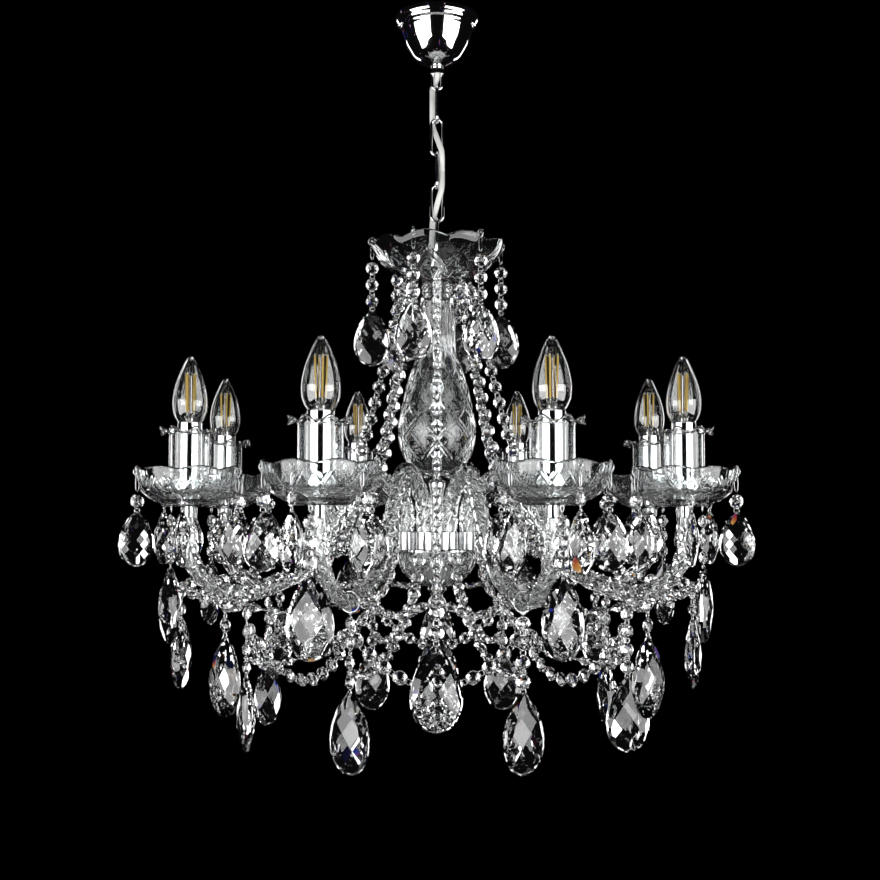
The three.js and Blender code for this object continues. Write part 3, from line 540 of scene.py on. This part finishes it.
def make_loop():
    stem = lathe([(3.8, COLLAR_FOOT + 0.4), (4.2, COLLAR_FOOT), (6.4, COLLAR_FOOT), (7, COLLAR_FOOT + 0.7),
                  (7, STEM_FOOT - 0.7), (6.5, STEM_FOOT - 0.1), (6, STEM_FOOT), (6, -33), (3.8, -33)], 48)
    top = lathe([(AXIS, -3.1), (6, -3.1), (6, -12), (3.8, -12), (AXIS, -12)], 48, loop=False)
    back = []
    for t in np.linspace(0.25 * TURN, 0.75 * TURN, 13):
        c, s = math.cos(t), math.sin(t)
        back.append([(r * c, r * s, z) for r, z in ((3.9, -34), (6, -34), (6, -11), (3.9, -11))])
    half = grid(back, caps=True)
    threads = [ring((0, 0, -3.6 - 1.1 * k), (0, 0, 1), 6, 0.5, 32, 4) for k in range(7)]
    shape = merge([stem, top, half, make_bail(COLLAR_FOOT, LOOP_WIRE, -1)] + threads)
    piece("loop", shape, CHROME, "ceiling", ["canopy_loop"], sharp=40)


def link_path(number):
    """A link's wire. Links with an odd number lie in the YZ plane, the others in XZ."""
    top = FIRST_LINK_TOP - (number - 1) * LINK_PITCH
    half = (LINK_WIDTH - LINK_WIRE) / 2
    bends = ((top - half, 0), (top - (LINK_LENGTH - LINK_WIRE) + half, math.pi))
    out = []
    for bend, start in bends:
        for t in np.linspace(start, start + math.pi, 17):
            across, z = half * math.cos(t), bend + half * math.sin(t)
            out.append((across, 0, z) if number % 2 == 0 else (0, across, z))
    return out


def make_links():
    for number in range(1, LINKS + 1):
        side = (0, 1, 0) if number % 2 == 0 else (1, 0, 0)
        shape = tube(link_path(number), LINK_WIRE / 2, 14, side, True)
        piece(f"link_{number}", shape, CHROME, f"link_{number}", [f"chain_link_{number}"])


CABLE_ROUTE = [
    (13.7, 0, -18.5), (9, 0, -19), (4, 0, -22), (0.6, 0, -28.5), (0, 0, -36), (0, 0, -49), (0, 0, -64.5),
    (-0.4, 1.9, -69), (-3, 5.6, -74), (-5.2, 6, -80), (-5.4, 3.2, -88), (-5.4, 0.4, -97), (-5.4, 1.6, -106),
    (-5.4, 5.4, -114.5), (-4.6, 6.2, -122.5), (-2, 3.6, -130.5), (0, 0, -137), (2, -3.6, -143.5),
    (4.6, -6.2, -151.5), (5.4, -5.4, -159.5), (5.4, -1.6, -168), (5.4, 0, -174.5), (5.4, -1.6, -181),
    (5.4, -5.4, -189.5), (4.6, -6.2, -197), (2, -3.6, -205), (0, 0, -211.5), (-2, 3.6, -218),
    (-4.6, 6.2, -226), (-5.4, 5.4, -234), (-5.4, 1.6, -242.5), (-5.4, 0.4, -250), (-5.4, 3.2, -258),
    (-5.2, 6, -266), (-3, 5.6, -272), (-0.4, 1.9, -277.5), (0, 0, -282.5), (0, 0, -294),
]
CABLE_CUTS = (0, 11, 16, 21, 26, 31, 37)


def make_cable():
    """The woven cable, in one stretch for each joint of the chain."""
    per_span, sides, bend = 6, 16, 12
    path = catmull(CABLE_ROUTE, per_span)
    rings = tube(path, CABLE_RADIUS, sides, (0.2, 1, 0.1))[0].reshape(len(path), sides, 3)
    for k in range(LINKS + 1):
        first, last = CABLE_CUTS[k] * per_span, CABLE_CUTS[k + 1] * per_span
        name = f"cable_{k + 1}"
        made = bpy.data.objects.new(name, as_mesh(name, grid(rings[first:last + 1], caps=True), True))
        made.data.materials.append(SHEATH)
        bpy.context.scene.collection.objects.link(made)
        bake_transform(made)
        if k == 0:
            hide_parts("supply_cable")


# Column


def groove(distance, width, depth):
    """Depth of a V cut at a distance from its line."""
    return depth * np.maximum(0, 1 - distance / width)


def to_whole(x):
    """Distance to the nearest whole number."""
    return np.abs(x - np.round(x))


def crossed(turns, rise, apart, width, depth):
    """Pairs of V cuts that lean both ways and cross."""
    leaning = [to_whole(turns + way * rise + side * apart) for way in (-1, 1) for side in (-1, 1)]
    return groove(np.minimum.reduce(leaning), width, depth)


def make_rod():
    foot = FINIAL_TOP - 13.7
    body = lathe([(3.8, COLUMN_COLLAR_TOP - 0.4), (4.3, COLUMN_COLLAR_TOP), (7.4, COLUMN_COLLAR_TOP),
                  (8, COLUMN_COLLAR_TOP - 0.8), (8, BOWL_SEAT + 1), (7.6, BOWL_SEAT + FIT),
                  (5, BOWL_SEAT + FIT), (5, foot), (AXIS, foot), (AXIS, BOWL_SEAT + 1),
                  (3.8, BOWL_SEAT + 1)], 40)
    shape = merge([body, make_bail(COLUMN_COLLAR_TOP, EYE_WIRE, 1)])
    piece("pipe", shape, CHROME, "chandelier", ["column_rod"], sharp=40)


def make_top_bowl():
    foot, rim = BOWL_FOOT, BOWL_FOOT + BOWL_HEIGHT
    sides, scallops, drops = 432, 9, 6
    lobe_turn = math.radians(18.5)

    def edge(radii, angles, heights):
        share = np.clip((radii - 37) / 37, 0, 1.2)
        wave = 1 - np.abs(np.cos(scallops / 2 * (angles - lobe_turn)))
        return radii - 2.4 * share * wave, heights - 7 * share**4 * wave

    def cut(radii, angles, heights):
        radii, heights = edge(radii, angles, heights)
        height = (heights - foot) / BOWL_HEIGHT
        band = np.clip(1 - np.abs(height - 0.36) / 0.3, 0, 1) ** 0.3
        turns = scallops * (angles - lobe_turn) / TURN
        rays = np.where(height < 0.16, groove(to_whole(2 * turns), 0.25, 1.2), 0)
        return radii - band * crossed(turns, 0.14 + 1.43 * height, 0.055, 0.045, 1.8) - rays, heights

    outer = eased([(9, foot), (16.3, foot), (29, foot + 2.6), (40.7, foot + 7), (54, foot + 15.5),
                   (65.1, foot + 25.5), (71.5, foot + 36.5), (74, rim)], 8)
    inner = eased([(70.8, rim), (68, foot + 37.5), (61, foot + 27.5), (50, foot + 18), (37.5, foot + 10.5),
                   (16.3, BOWL_SEAT), (9, BOWL_SEAT)], 5)
    lip = [(73.6, rim + 0.8), (72.4, rim + 1.1), (71.3, rim + 0.8)]
    skin = lathe(outer, sides, cut, False)
    lining = lathe(lip + inner + [(PIPE_WAY, BOWL_SEAT), (PIPE_WAY, foot)], sides, edge, False)
    shape = vessel(skin, lining, sides)
    piece("top_bowl_glass", shape, CUT_GLASS, "chandelier", ["top_bowl"], sharp=60)
    beads, pins = [], []
    for i in range(drops):
        angle = math.radians(40) + TURN * i / drops
        top = spot(72, angle, rim - 2)
        hook = ring(top + np.array((0, 0, 1.5)), sideways(angle), 4.2, 1, 14, 5)
        made = hanging(top, spot(1, 0, 0), 3, BOWL_ALMOND, 3.1 * i, 19)
        beads += made[0]
        pins += made[1] + [hook]
    piece("top_bowl_drops", merge(beads), CRYSTAL, "chandelier", smooth=False)
    piece("top_bowl_pins", merge(pins), WIRE, "chandelier")


def garland_path(angle):
    """A garland's curve, through points given as a reach and a drop below the neck's top."""
    points = ((36, 1), (63, 111), (89, 200), (142, 280), (213, 321), (GARLAND_REACH, GARLAND_DROP))
    return catmull([spot(reach, angle, CROWN_TOP - drop) for reach, drop in points], 24)


def make_crown():
    profile = [(6, CROWN_TOP), (37.4, CROWN_TOP), (38, CROWN_TOP - 1), (37.4, CROWN_TOP - 2),
               (15, CROWN_TOP - 2)]
    height = 17 / 3
    for i in range(3):
        top = CROWN_TOP - 2 - i * height
        for t in np.linspace(0.15, 2.99, 9):
            profile.append((13.5 + 3.7 * math.sin(t), top - height * (0.5 - 0.46 * math.cos(t))))
    profile += [(13.5, NECK_FOOT), (6, NECK_FOOT)]
    piece("neck_rings", lathe(profile, 80), CUT_GLASS, "chandelier", ["crown_garlands"], sharp=50)
    beads, pins = [], []
    for i in range(ARMS):
        angle = i * ARM_STEP
        face = spot(1, angle, 0)
        run = bead_run(garland_path(angle), sideways(angle), 5.3 * i)
        end = hanging(spot(GARLAND_REACH, angle, GARLAND_END), face, 2, LARGE_ALMOND, 2.3 * i)
        beads += run[0] + end[0]
        pins += run[1] + end[1]
    piece("garland_beads", merge(beads), CRYSTAL, "chandelier", smooth=False)
    piece("garland_pins", merge(pins), WIRE, "chandelier")


# Share of the baluster's height, from its top, and radius
BALUSTER_SHARES = [(0, 23), (0.018, 23.2), (0.06, 21.6), (0.12, 20.4), (0.2, 20.2), (0.29, 21), (0.34, 24.5),
                   (0.4, 29.5), (0.47, 33.8), (0.58, 38.3), (0.65, 41.4), (0.71, 42.6), (0.76, 42.1),
                   (0.8, 40.6), (0.855, 37), (0.9, 31.5), (0.94, 22), (0.965, 16), (0.985, 12), (1, 10)]


def make_baluster():
    def cut(radii, angles, heights):
        depth = (BALUSTER_TOP - heights) / BALUSTER_HEIGHT
        flute = np.clip((0.34 - depth) / 0.05, 0, 1) * np.clip((depth - 0.03) / 0.02, 0, 1)
        flutes = 1.1 * flute * (0.5 - 0.5 * np.cos(16 * angles))
        turns = 6 * angles / TURN
        rise = 4.2 * (depth - 0.425)
        band = np.clip((depth - 0.37) / 0.03, 0, 1) * np.clip((0.9 - depth) / 0.03, 0, 1)
        lines = np.maximum(crossed(turns, rise, 0.045, 0.028, 1.0),
                           crossed(2 * turns, 2 * rise, 0, 0.045, 0.6))
        return radii - flutes - band * lines, heights

    sides, wall, bore = 432, 4, 5.8
    outline = eased([(r, BALUSTER_TOP - BALUSTER_HEIGHT * s) for s, r in BALUSTER_SHARES], 12)
    skin = lathe(outline, sides, cut, False)
    low = [(bore, BALUSTER_FOOT), (bore, BALUSTER_FOOT + 12)]
    inner = [(max(r - wall, bore), z) for r, z in reversed(outline)
             if BALUSTER_FOOT + 13 < z < BALUSTER_TOP - 5]
    high = [(inner[-1][0], BALUSTER_TOP - 4), (bore, BALUSTER_TOP - 4), (bore, BALUSTER_TOP)]
    lining = lathe(low + inner + high, sides, None, False)
    shape = vessel(skin, lining, sides)
    piece("baluster_glass", shape, CUT_GLASS, "chandelier", ["baluster"], sharp=60)


def make_hub():
    spacer = eased([(9, HUB_TOP), (8.6, HUB_TOP - 4), (7, HUB_TOP - 10), (7, PLATE_TOP + 18),
                    (8.4, PLATE_TOP + 5), (9.4, PLATE_TOP)], 6)
    plate = [(44.5, PLATE_TOP), (46, PLATE_TOP - 0.8), (46, PLATE_FOOT + 0.8), (45, PLATE_FOOT),
             (5.5, PLATE_FOOT), (5.5, HUB_TOP)]
    shapes = [lathe(spacer + plate, 72)]
    for i in range(ARMS):
        place = spot(FERRULE_RING, FIRST_ARM + i * ARM_STEP, 0)
        ferrule = lathe([(AXIS, PLATE_TOP - 1.5), (8.6, PLATE_TOP - 1.5), (8.6, FERRULE_TOP - 0.5),
                         (8.2, FERRULE_TOP), (7.5, FERRULE_TOP), (7.4, FERRULE_TOP - 0.4),
                         (7.4, PLATE_TOP + 2), (AXIS, PLATE_TOP + 2)], 36, loop=False)
        shapes.append(moved(ferrule, Matrix.Translation(Vector(place))))
    piece("hub", merge(shapes), CHROME, "chandelier", ["arm_hub"], sharp=30)


def make_dish():
    def cut(radii, angles, heights):
        depth = (DISH_TOP - heights) / DISH_HEIGHT
        turns = 16 * angles / TURN
        band = np.clip((depth - 0.1) / 0.08, 0, 1)
        lines = np.minimum(to_whole(turns + 1.6 * depth), to_whole(turns - 1.6 * depth))
        return radii - band * groove(lines, 0.14, 1.3), heights

    sides = 192
    outer = eased([(44, DISH_TOP), (43.6, DISH_TOP - 6), (42.2, DISH_TOP - 12), (38, DISH_TOP - 20),
                   (33, DISH_TOP - 26), (22, DISH_TOP - 34.5), (12, DISH_FOOT)], 7)
    inner = eased([(12, DISH_FOOT + 3), (21, DISH_TOP - 31.5), (31, DISH_TOP - 24), (38.5, DISH_TOP - 13),
                   (41, DISH_TOP)], 5)
    skin = lathe(outer, sides, cut, False)
    lining = lathe([(PIPE_WAY, DISH_FOOT), (PIPE_WAY, DISH_FOOT + 3)] + inner, sides, None, False)
    shape = vessel(skin, lining, sides)
    piece("dish", shape, CUT_GLASS, "chandelier", ["hub_dish"], sharp=60)


def make_finial():
    top, low = FINIAL_TOP, FINIAL_FOOT
    outline = eased([(9.6, top), (10, top - 2), (7, top - 6), (6, top - 9), (9, top - 13), (10, top - 18),
                     (8.6, top - 23), (6, top - 27), (5.4, top - 31), (4, low + 1), (2.6, low)], 5)
    body = lathe(outline + [(AXIS, low), (AXIS, top - 14), (PIPE_WAY, top - 14), (PIPE_WAY, top)], 48)
    eye = ring((0, 0, low - 3.2), (0, 1, 0), 4, 1.6, 24, 8)
    piece("finial_turned", merge([body, eye]), CHROME, "chandelier", ["finial"], sharp=40)


def make_centre_drop():
    eye_low = FINIAL_FOOT - 8 + 0.8
    centre = eye_low + 1.6 + FIT - 4
    hook = ring((0, 0, centre), (1, 0, 0), 4, 1.4, 20, 8)
    drop = moved(ALMONDS[LARGE_ALMOND], Matrix.Translation((0, 0, centre - 4)))
    piece("centre_almond", drop, CRYSTAL, "centre_drop", ["centre_drop"], smooth=False)
    piece("centre_hook", hook, WIRE, "centre_drop")


# Arms and lights


def arm_path(angle, count=160):
    """An arm's middle line, through points given as a reach and a rise above the ferrules."""
    points = ((FERRULE_RING, FIT), (FERRULE_RING + 4.25, 32), (84, 64), (119, 14), (152, -37), (211, -62),
              (252, -48), (ARM_REACH, -18), (ARM_REACH, 12))
    return spaced(catmull([spot(reach, angle, FERRULE_TOP + rise) for reach, rise in points], 24), count)


def make_arms():
    path, length = arm_path(0)
    count, sides = len(path), 48
    core, lobe, pitch, end = 6.5, 2.3, 75, 8
    angles = np.arange(sides) * TURN / sides

    def rope(i):
        along = length * i / (count - 1)
        ease = min(1, along / end, (length - along) / end)
        lobes = np.abs(np.cos(2.5 * (angles - TURN * along / pitch)))
        r = core + lobe * (ease * lobes**0.8 + (1 - ease) * 0.65)
        return r * np.cos(angles), r * np.sin(angles)

    rings, _ = tube(path, 0, sides, (1, 0, 0), section=rope, caps=False)
    rings = rings.reshape(count, sides, 3)

    def level(y, z, r):
        return np.stack([r * np.cos(angles), y + r * np.sin(angles), np.full(sides, z)], axis=1)

    start_y, end_y = -FERRULE_RING, -ARM_REACH
    outside = [level(start_y, PLATE_TOP + 2.6, 5.2), level(start_y, PLATE_TOP + 3, 5.6),
               level(start_y, FERRULE_TOP, 5.8)]
    outside += list(rings)
    cup_end = ((-9, 8), (-3, 8.4), (-0.6, 8.5), (0, 8.1), (0, 5.8), (-11, 5.8))
    outside += [level(end_y, ARM_TOP + rise, r) for rise, r in cup_end]
    hollow = tube(path, ARM_BORE, sides, (1, 0, 0), caps=False)[0].reshape(count, sides, 3)
    inside = [level(end_y, ARM_TOP - 11, ARM_BORE), *hollow[::-1], level(start_y, PLATE_TOP + 2.6, ARM_BORE)]
    mesh = as_mesh("arm_glass", grid(outside + inside, loop=True), True)
    wire_path = [path[0] + np.array((0, 0, -18))] + list(path[::2]) + [path[-1] + np.array((0, 0, 12))]
    wires = as_mesh("arm_wire", tube(wire_path, 0.8, 10, (1, 0, 0)), True)
    for i in range(ARMS):
        piece(f"arm_glass_{i + 1}", None, ARM_GLASS, "chandelier", [f"arm_{i + 1}"],
              place=arm_turn(i), mesh=mesh, sharp=50)
        piece(f"arm_wire_{i + 1}", None, WIRE, "chandelier", place=arm_turn(i), mesh=wires)


def make_bobeches():
    foot, rim = BOBECHE_FOOT, BOBECHE_FOOT + BOBECHE_HEIGHT
    sides, scallops, drops = 384, 8, 5

    def edge(radii, angles, heights):
        share = np.clip((radii - 30) / 23.7, 0, 1.2)
        wave = 1 - np.abs(np.cos(scallops / 2 * angles))
        return radii - 1.8 * share**1.5 * wave, heights - 4.5 * share**4 * wave

    def cut(radii, angles, heights):
        radii, heights = edge(radii, angles, heights)
        turns = 12 * angles / TURN
        along = np.clip((radii - 20 + heights - foot) / 72, 0, 1)
        band = np.clip((along - 0.05) / 0.06, 0, 1) * np.clip((0.86 - along) / 0.05, 0, 1)
        lines = crossed(turns, 1.5 * along, 0.07, 0.055, 1.1)
        lines = band * np.maximum(lines, crossed(2 * turns, 3 * along, 0, 0.09, 0.6))
        return radii - lines, heights - lines

    outer = eased([(22, foot), (35, foot + 6.2), (42, foot + 10.2), (46.4, foot + 14.4),
                   (49.8, foot + 22.8), (52, foot + 31), (53.7, rim)], 10)
    inner = eased([(50.9, rim), (48.6, foot + 29), (46.2, foot + 21.8), (42.6, foot + 16.2),
                   (34, foot + 10.6), (22, foot + 6.2)], 6)
    lip = [(53.2, rim + 0.9), (52.2, rim + 1.2), (51.3, rim + 0.8)]
    skin = lathe([(PIPE_WAY, foot), (21, foot)] + outer, sides, cut, False)
    lining = lathe(lip + inner + [(PIPE_WAY, foot + 6)], sides, edge, False)
    dish = as_mesh("bobeche_dish", vessel(skin, lining, sides), True)
    for i in range(ARMS):
        piece(f"bobeche_glass_{i + 1}", None, CUT_GLASS, "chandelier", [f"bobeche_{i + 1}"],
              place=arm_place(i), mesh=dish, sharp=60)
        beads, pins = [], []
        for k in range(drops):
            angle = TURN * k / drops
            top = spot(51.7, angle, foot + 32)
            made = hanging(top, sideways(angle), 1, SMALL_ALMOND, 1.9 * k + 7.7 * i, 18)
            beads += made[0]
            pins += made[1] + [ring(top + np.array((0, 0, 2.6)), sideways(angle), 4, 1, 14, 5)]
        made = hanging(spot(18, 0, foot + 2), spot(1, 0, 0), 3, LARGE_ALMOND, 3.3 * i, 8)
        beads += made[0]
        pins += made[1]
        piece(f"bobeche_drops_{i + 1}", merge(beads), CRYSTAL, "chandelier", smooth=False,
              place=arm_place(i))
        piece(f"bobeche_pins_{i + 1}", merge(pins), WIRE, "chandelier", place=arm_place(i))


def make_cups():
    foot, rim = CUP_FOOT, CUP_FOOT + CUP_HEIGHT
    sides = 144

    def ruffle(radii, angles, heights):
        share = np.clip((radii - 20.8) / 8.7, 0, 1)
        return radii + 0.8 * share * np.cos(16 * angles), heights + 3.4 * share * np.cos(8 * angles)

    outer = eased([(15, foot), (19.4, foot + 0.8), (20.6, foot + 4), (20.6, foot + 30), (20.6, rim - 10),
                   (20.7, rim - 3), (21.6, rim - 1), (24, rim - 0.3), (28, rim - 0.6), (29, rim - 0.3)], 7)
    inner = eased([(29, rim + 1.7), (28, rim + 1.8), (24, rim + 0.6), (20.8, rim + 0.2), (19.7, rim - 1.6),
                   (19.4, rim - 10), (19.4, foot + 30), (19.3, foot + 5), (17.5, foot + 3.2),
                   (12, foot + 3)], 7)
    skin = lathe([(PIPE_WAY, foot)] + outer + [(29.6, rim + 0.7)], sides, ruffle, False)
    lining = lathe(inner + [(PIPE_WAY, foot + 3)], sides, ruffle, False)
    cup = as_mesh("cup_glass", vessel(skin, lining, sides), True)
    for i in range(ARMS):
        piece(f"cup_glass_{i + 1}", None, CUT_GLASS, "chandelier", [f"candle_cup_{i + 1}"],
              place=arm_place(i), mesh=cup, sharp=60)


def make_tubes():
    foot = ARM_TOP - 10.7
    socket = TUBE_TOP - 26
    profile = [(AXIS, foot), (4.6, foot), (5, foot + 0.6), (5, TUBE_SEAT), (12, TUBE_SEAT),
               (12.4, TUBE_SEAT + 0.5), (12.4, TUBE_TOP - 0.5), (12, TUBE_TOP), (11, TUBE_TOP),
               (10.8, TUBE_TOP - 1), (7.5, TUBE_TOP - 1.2), (7.5, socket), (AXIS, socket)]
    tube_mesh = as_mesh("tube_chrome", lathe(profile, 64, loop=False), True)
    for i in range(ARMS):
        piece(f"tube_chrome_{i + 1}", None, CHROME, "chandelier", [f"candle_tube_{i + 1}"],
              place=arm_place(i), mesh=tube_mesh, sharp=25)


def make_bulbs():
    foot, threads, filaments = TUBE_TOP + FIT, 5, 4
    shares = [(0, 11.4), (0.03, 12.9), (0.065, 14.4), (0.16, 16.9), (0.24, 17.55), (0.32, 17.75),
              (0.45, 16.7), (0.61, 14), (0.77, 9.9), (0.9, 6.2), (0.95, 4.4), (0.985, 2.3), (1, AXIS)]
    outer = [(max(r, AXIS), z) for r, z in eased([(r, foot + BULB_HEIGHT * s) for s, r in shares], 6)]
    inner = [(max(r - 0.7, AXIS), min(z, foot + 64.5)) for r, z in reversed(outer[1:])]
    envelope = as_mesh("bulb_envelope", lathe(outer + inner, 64), True)
    shell = lathe([(AXIS, TUBE_TOP - 25), (3, TUBE_TOP - 25), (3.6, TUBE_TOP - 23.6), (6.6, TUBE_TOP - 22),
                   (7, TUBE_TOP - 20), (7, TUBE_TOP - 1), (7.5, foot), (7.3, foot + 1.6),
                   (AXIS, foot + 1.6)], 40, loop=False)
    thread = [ring((0, 0, TUBE_TOP - 19 + 2.8 * k), (0, 0, 1), 6.7, 1.2, 32, 6) for k in range(threads)]
    cap = as_mesh("bulb_cap", merge([shell] + thread), True)
    stem_line = ((AXIS, 1.6), (5.6, 1.8), (4.6, 4), (2.4, 8), (1.7, 14), (1.5, 46), (2.2, 48), (AXIS, 49))
    stem_skin = lathe([(r, foot + rise) for r, rise in stem_line], 28, loop=False)
    stem = as_mesh("bulb_stem", stem_skin, True)
    sticks, leads = [], []
    for k in range(filaments):
        a = TURN * (k + 0.5) / filaments
        out = np.array((math.cos(a), math.sin(a), 0))
        base, low, high = (r * out + (0, 0, foot + z) for r, z in ((1.6, 7), (4.6, 11.5), (5.8, 49)))
        sticks.append(tube(spaced([low, high], 8)[0], 0.85, 8, (1, 0, 0)))
        for way in ((base, low - (0, 0, 3), low), (high, high + (0, 0, 1.6), (0, 0, foot + 47))):
            leads.append(tube(catmull(way, 5), 0.28, 6, (0, 1, 0)))
    filament = as_mesh("bulb_filament", merge(sticks), True)
    lead = as_mesh("bulb_lead", merge(leads), True)
    for i in range(ARMS):
        body, place = f"bulb_{i + 1}", arm_place(i)
        piece(f"bulb_envelope_{i + 1}", None, BULB_GLASS, body, [body],
              place=place, mesh=envelope)
        piece(f"bulb_stem_{i + 1}", None, BULB_GLASS, body, place=place, mesh=stem)
        piece(f"bulb_cap_{i + 1}", None, CAP, body, place=place, mesh=cap)
        piece(f"bulb_filament_{i + 1}", None, FILAMENT, body, place=place, mesh=filament)
        piece(f"bulb_lead_{i + 1}", None, WIRE, body, place=place, mesh=lead)


# Swags

COLLAR_REACH, COLLAR_RADIUS = 209, 9.8
ROOT_OUT, TIP_OUT, BELLY_SAG = 11.3, 8.3, 12
LOW_REACH, LOW_DROP = 187, 71


def arm_station(angle, reach):
    """Where a swag collar hangs: its middle, the arm's way there and the collar's lowest point."""
    path, _ = arm_path(angle, 200)
    found = next(i for i in range(100, len(path)) if math.hypot(path[i][0], path[i][1]) >= reach)
    way = unit(path[found + 1] - path[found - 1])
    down = np.array((0, 0, -1.0))
    down = unit(down - way * down.dot(way))
    at = path[found] + down * 0.9
    return at, way, at + down * COLLAR_RADIUS


def make_swags():
    beads, pins = [], []
    up = np.array((0, 0, 1.0))
    turned = {1: spot(1, math.radians(15), 0), 7: spot(1, math.radians(-45), 0)}  # as in the photo
    for i in range(ARMS):
        angle = FIRST_ARM + i * ARM_STEP
        face = spot(1, angle, 0)
        at, way, foot = arm_station(angle, COLLAR_REACH)
        pins.append(ring(at, way, COLLAR_RADIUS, 1.6, 28, 6))
        top = foot + np.array((0, 0, 0.8))
        reach = math.hypot(top[0], top[1])
        string = hanging(top, turned.get(i, face), 4, LARGE_ALMOND, 4.7 * i, 2)
        start = spot(reach, angle, top[2] - 2 - PITCH)
        end = spot(reach, angle + ARM_STEP, start[2])
        low = spot(LOW_REACH, angle + ARM_STEP / 2, top[2] - LOW_DROP)
        pull = 2 * low - 0.5 * start - 0.5 * end
        curve = [(1 - t) ** 2 * start + 2 * t * (1 - t) * pull + t * t * end for t in np.linspace(0, 1, 41)]
        run = bead_run(curve, spot(1, angle + ARM_STEP / 2, 0), 3.9 * i, (False, False))
        beads += string[0] + run[0]
        pins += string[1] + run[1]
        root = at + sideways(angle) * ROOT_OUT
        following = angle + ARM_STEP
        next_root = spot(math.hypot(at[0], at[1]), following, at[2]) - sideways(following) * ROOT_OUT
        tip = spot(GARLAND_REACH + TIP_OUT, angle + ARM_STEP / 2, GARLAND_END)
        bellies = [0.5 * (end_point + tip) - BELLY_SAG * up for end_point in (root, next_root)]
        path = catmull([root, bellies[0], tip, bellies[1], next_root], 16)
        run = bead_run(path, up, 6.1 * i)
        beads += run[0]
        pins += run[1]
        under = ((47.2, -0.9), (58, 34), (92, 76), (140, 104), (182, 112))
        slope = [spot(r, angle, PLATE_FOOT - drop) for r, drop in under]
        slope.append(spot(reach, angle, top[2] - 2 - 3 * PITCH))
        run = bead_run(catmull(slope, 12), face, 2.9 * i)
        beads += run[0]
        pins += run[1]
    piece("swag_beads", merge(beads), CRYSTAL, "chandelier", ["arm_swags"], smooth=False)
    piece("swag_pins", merge(pins), WIRE, "chandelier")


make_cable()
make_canopy()
make_loop()
make_links()
make_rod()
make_top_bowl()
make_crown()
make_baluster()
make_hub()
make_dish()
make_finial()
make_centre_drop()
make_arms()
make_bobeches()
make_cups()
make_tubes()
make_bulbs()
make_swags()

for node, finish in (("ceiling_bracket", STEEL), ("terminal_block", BLOCK)):
    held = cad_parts[node].data
    held.materials.clear()
    held.materials.append(finish)


# Stage and light

FLOOR = -2100
MIDDLE = (0, 0, -0.5)


def make_floor():
    profile = [(AXIS, FLOOR), (500, FLOOR), (900, FLOOR), (904, FLOOR - 3), (904, FLOOR - 20),
               (AXIS, FLOOR - 20)]
    mesh = as_mesh("floor", lathe(profile, 96, loop=False), False)
    pale = add_noise(material("floor_paint", (0.7, 0.7, 0.69), 0.6), 6, 0.5, 0.7, 0.05, 60)
    mesh.materials.append(pale)
    floor = bpy.data.objects.new("floor", mesh)
    bpy.context.scene.collection.objects.link(floor)


def soft_box(name, place, target, width, height, power):
    data = bpy.data.lights.new(name, "AREA")
    data.shape, data.size, data.size_y = "RECTANGLE", width, height
    data.energy = power
    made = bpy.data.objects.new(name, data)
    made.location = place
    way = Vector(target) - Vector(place)
    made.rotation_euler = way.to_track_quat("-Z", "Y").to_euler()
    made.visible_camera = False
    bpy.context.scene.collection.objects.link(made)


def make_world():
    """Black to the camera. Glass and chrome see it dark too, with small glints, some of them coloured."""
    world = bpy.data.worlds.new("studio")
    bpy.context.scene.world = world
    world.use_nodes = True
    tree = world.node_tree
    background = tree.nodes["Background"]
    background.inputs["Strength"].default_value = 1
    rays = tree.nodes.new("ShaderNodeLightPath")
    place = tree.nodes.new("ShaderNodeTexCoord")
    cells = tree.nodes.new("ShaderNodeTexVoronoi")
    cells.inputs["Scale"].default_value = 4
    tree.links.new(place.outputs["Generated"], cells.inputs["Vector"])
    spots = tree.nodes.new("ShaderNodeValToRGB")
    steps = spots.color_ramp.elements
    steps[0].position, steps[0].color = 0.0, (1, 1, 1, 1)
    steps[1].position, steps[1].color = 0.16, (0.003, 0.003, 0.003, 1)
    for at, color in ((0.06, (0.9, 0.9, 0.92, 1)), (0.08, (0.6, 0.34, 0.06, 1)),
                      (0.1, (0.3, 0.03, 0.02, 1)), (0.13, (0.02, 0.04, 0.3, 1))):
        steps.new(at).color = color
    tree.links.new(cells.outputs["Distance"], spots.inputs["Fac"])
    choose = tree.nodes.new("ShaderNodeMix")
    choose.data_type = "RGBA"
    tree.links.new(rays.outputs["Is Camera Ray"], choose.inputs["Factor"])
    tree.links.new(spots.outputs["Color"], choose.inputs["A"])
    choose.inputs["B"].default_value = (0, 0, 0, 1)
    tree.links.new(choose.outputs["Result"], background.inputs["Color"])


def box_at(name, azimuth, reach, height, width, tall, power):
    """A soft box at an angle from the camera's side, turning towards +X."""
    a = math.radians(azimuth)
    soft_box(name, (reach * math.sin(a), -reach * math.cos(a), height), (0, 0, height), width, tall, power)


make_floor()
make_world()
box_at("left_box", -50, 2, -0.8, 2.1, 1.4, 42)
box_at("right_box", 50, 2, -0.8, 2.1, 1.4, 42)
soft_box("top_box", (0, -0.3, 1.1), MIDDLE, 0.8, 0.8, 4)
soft_box("back_left", (-1.1, 1.6, -0.4), MIDDLE, 0.3, 1.3, 4)
soft_box("back_right", (1.1, 1.6, -0.4), MIDDLE, 0.3, 1.3, 4)

bpy.context.scene.view_settings.view_transform = "Standard"
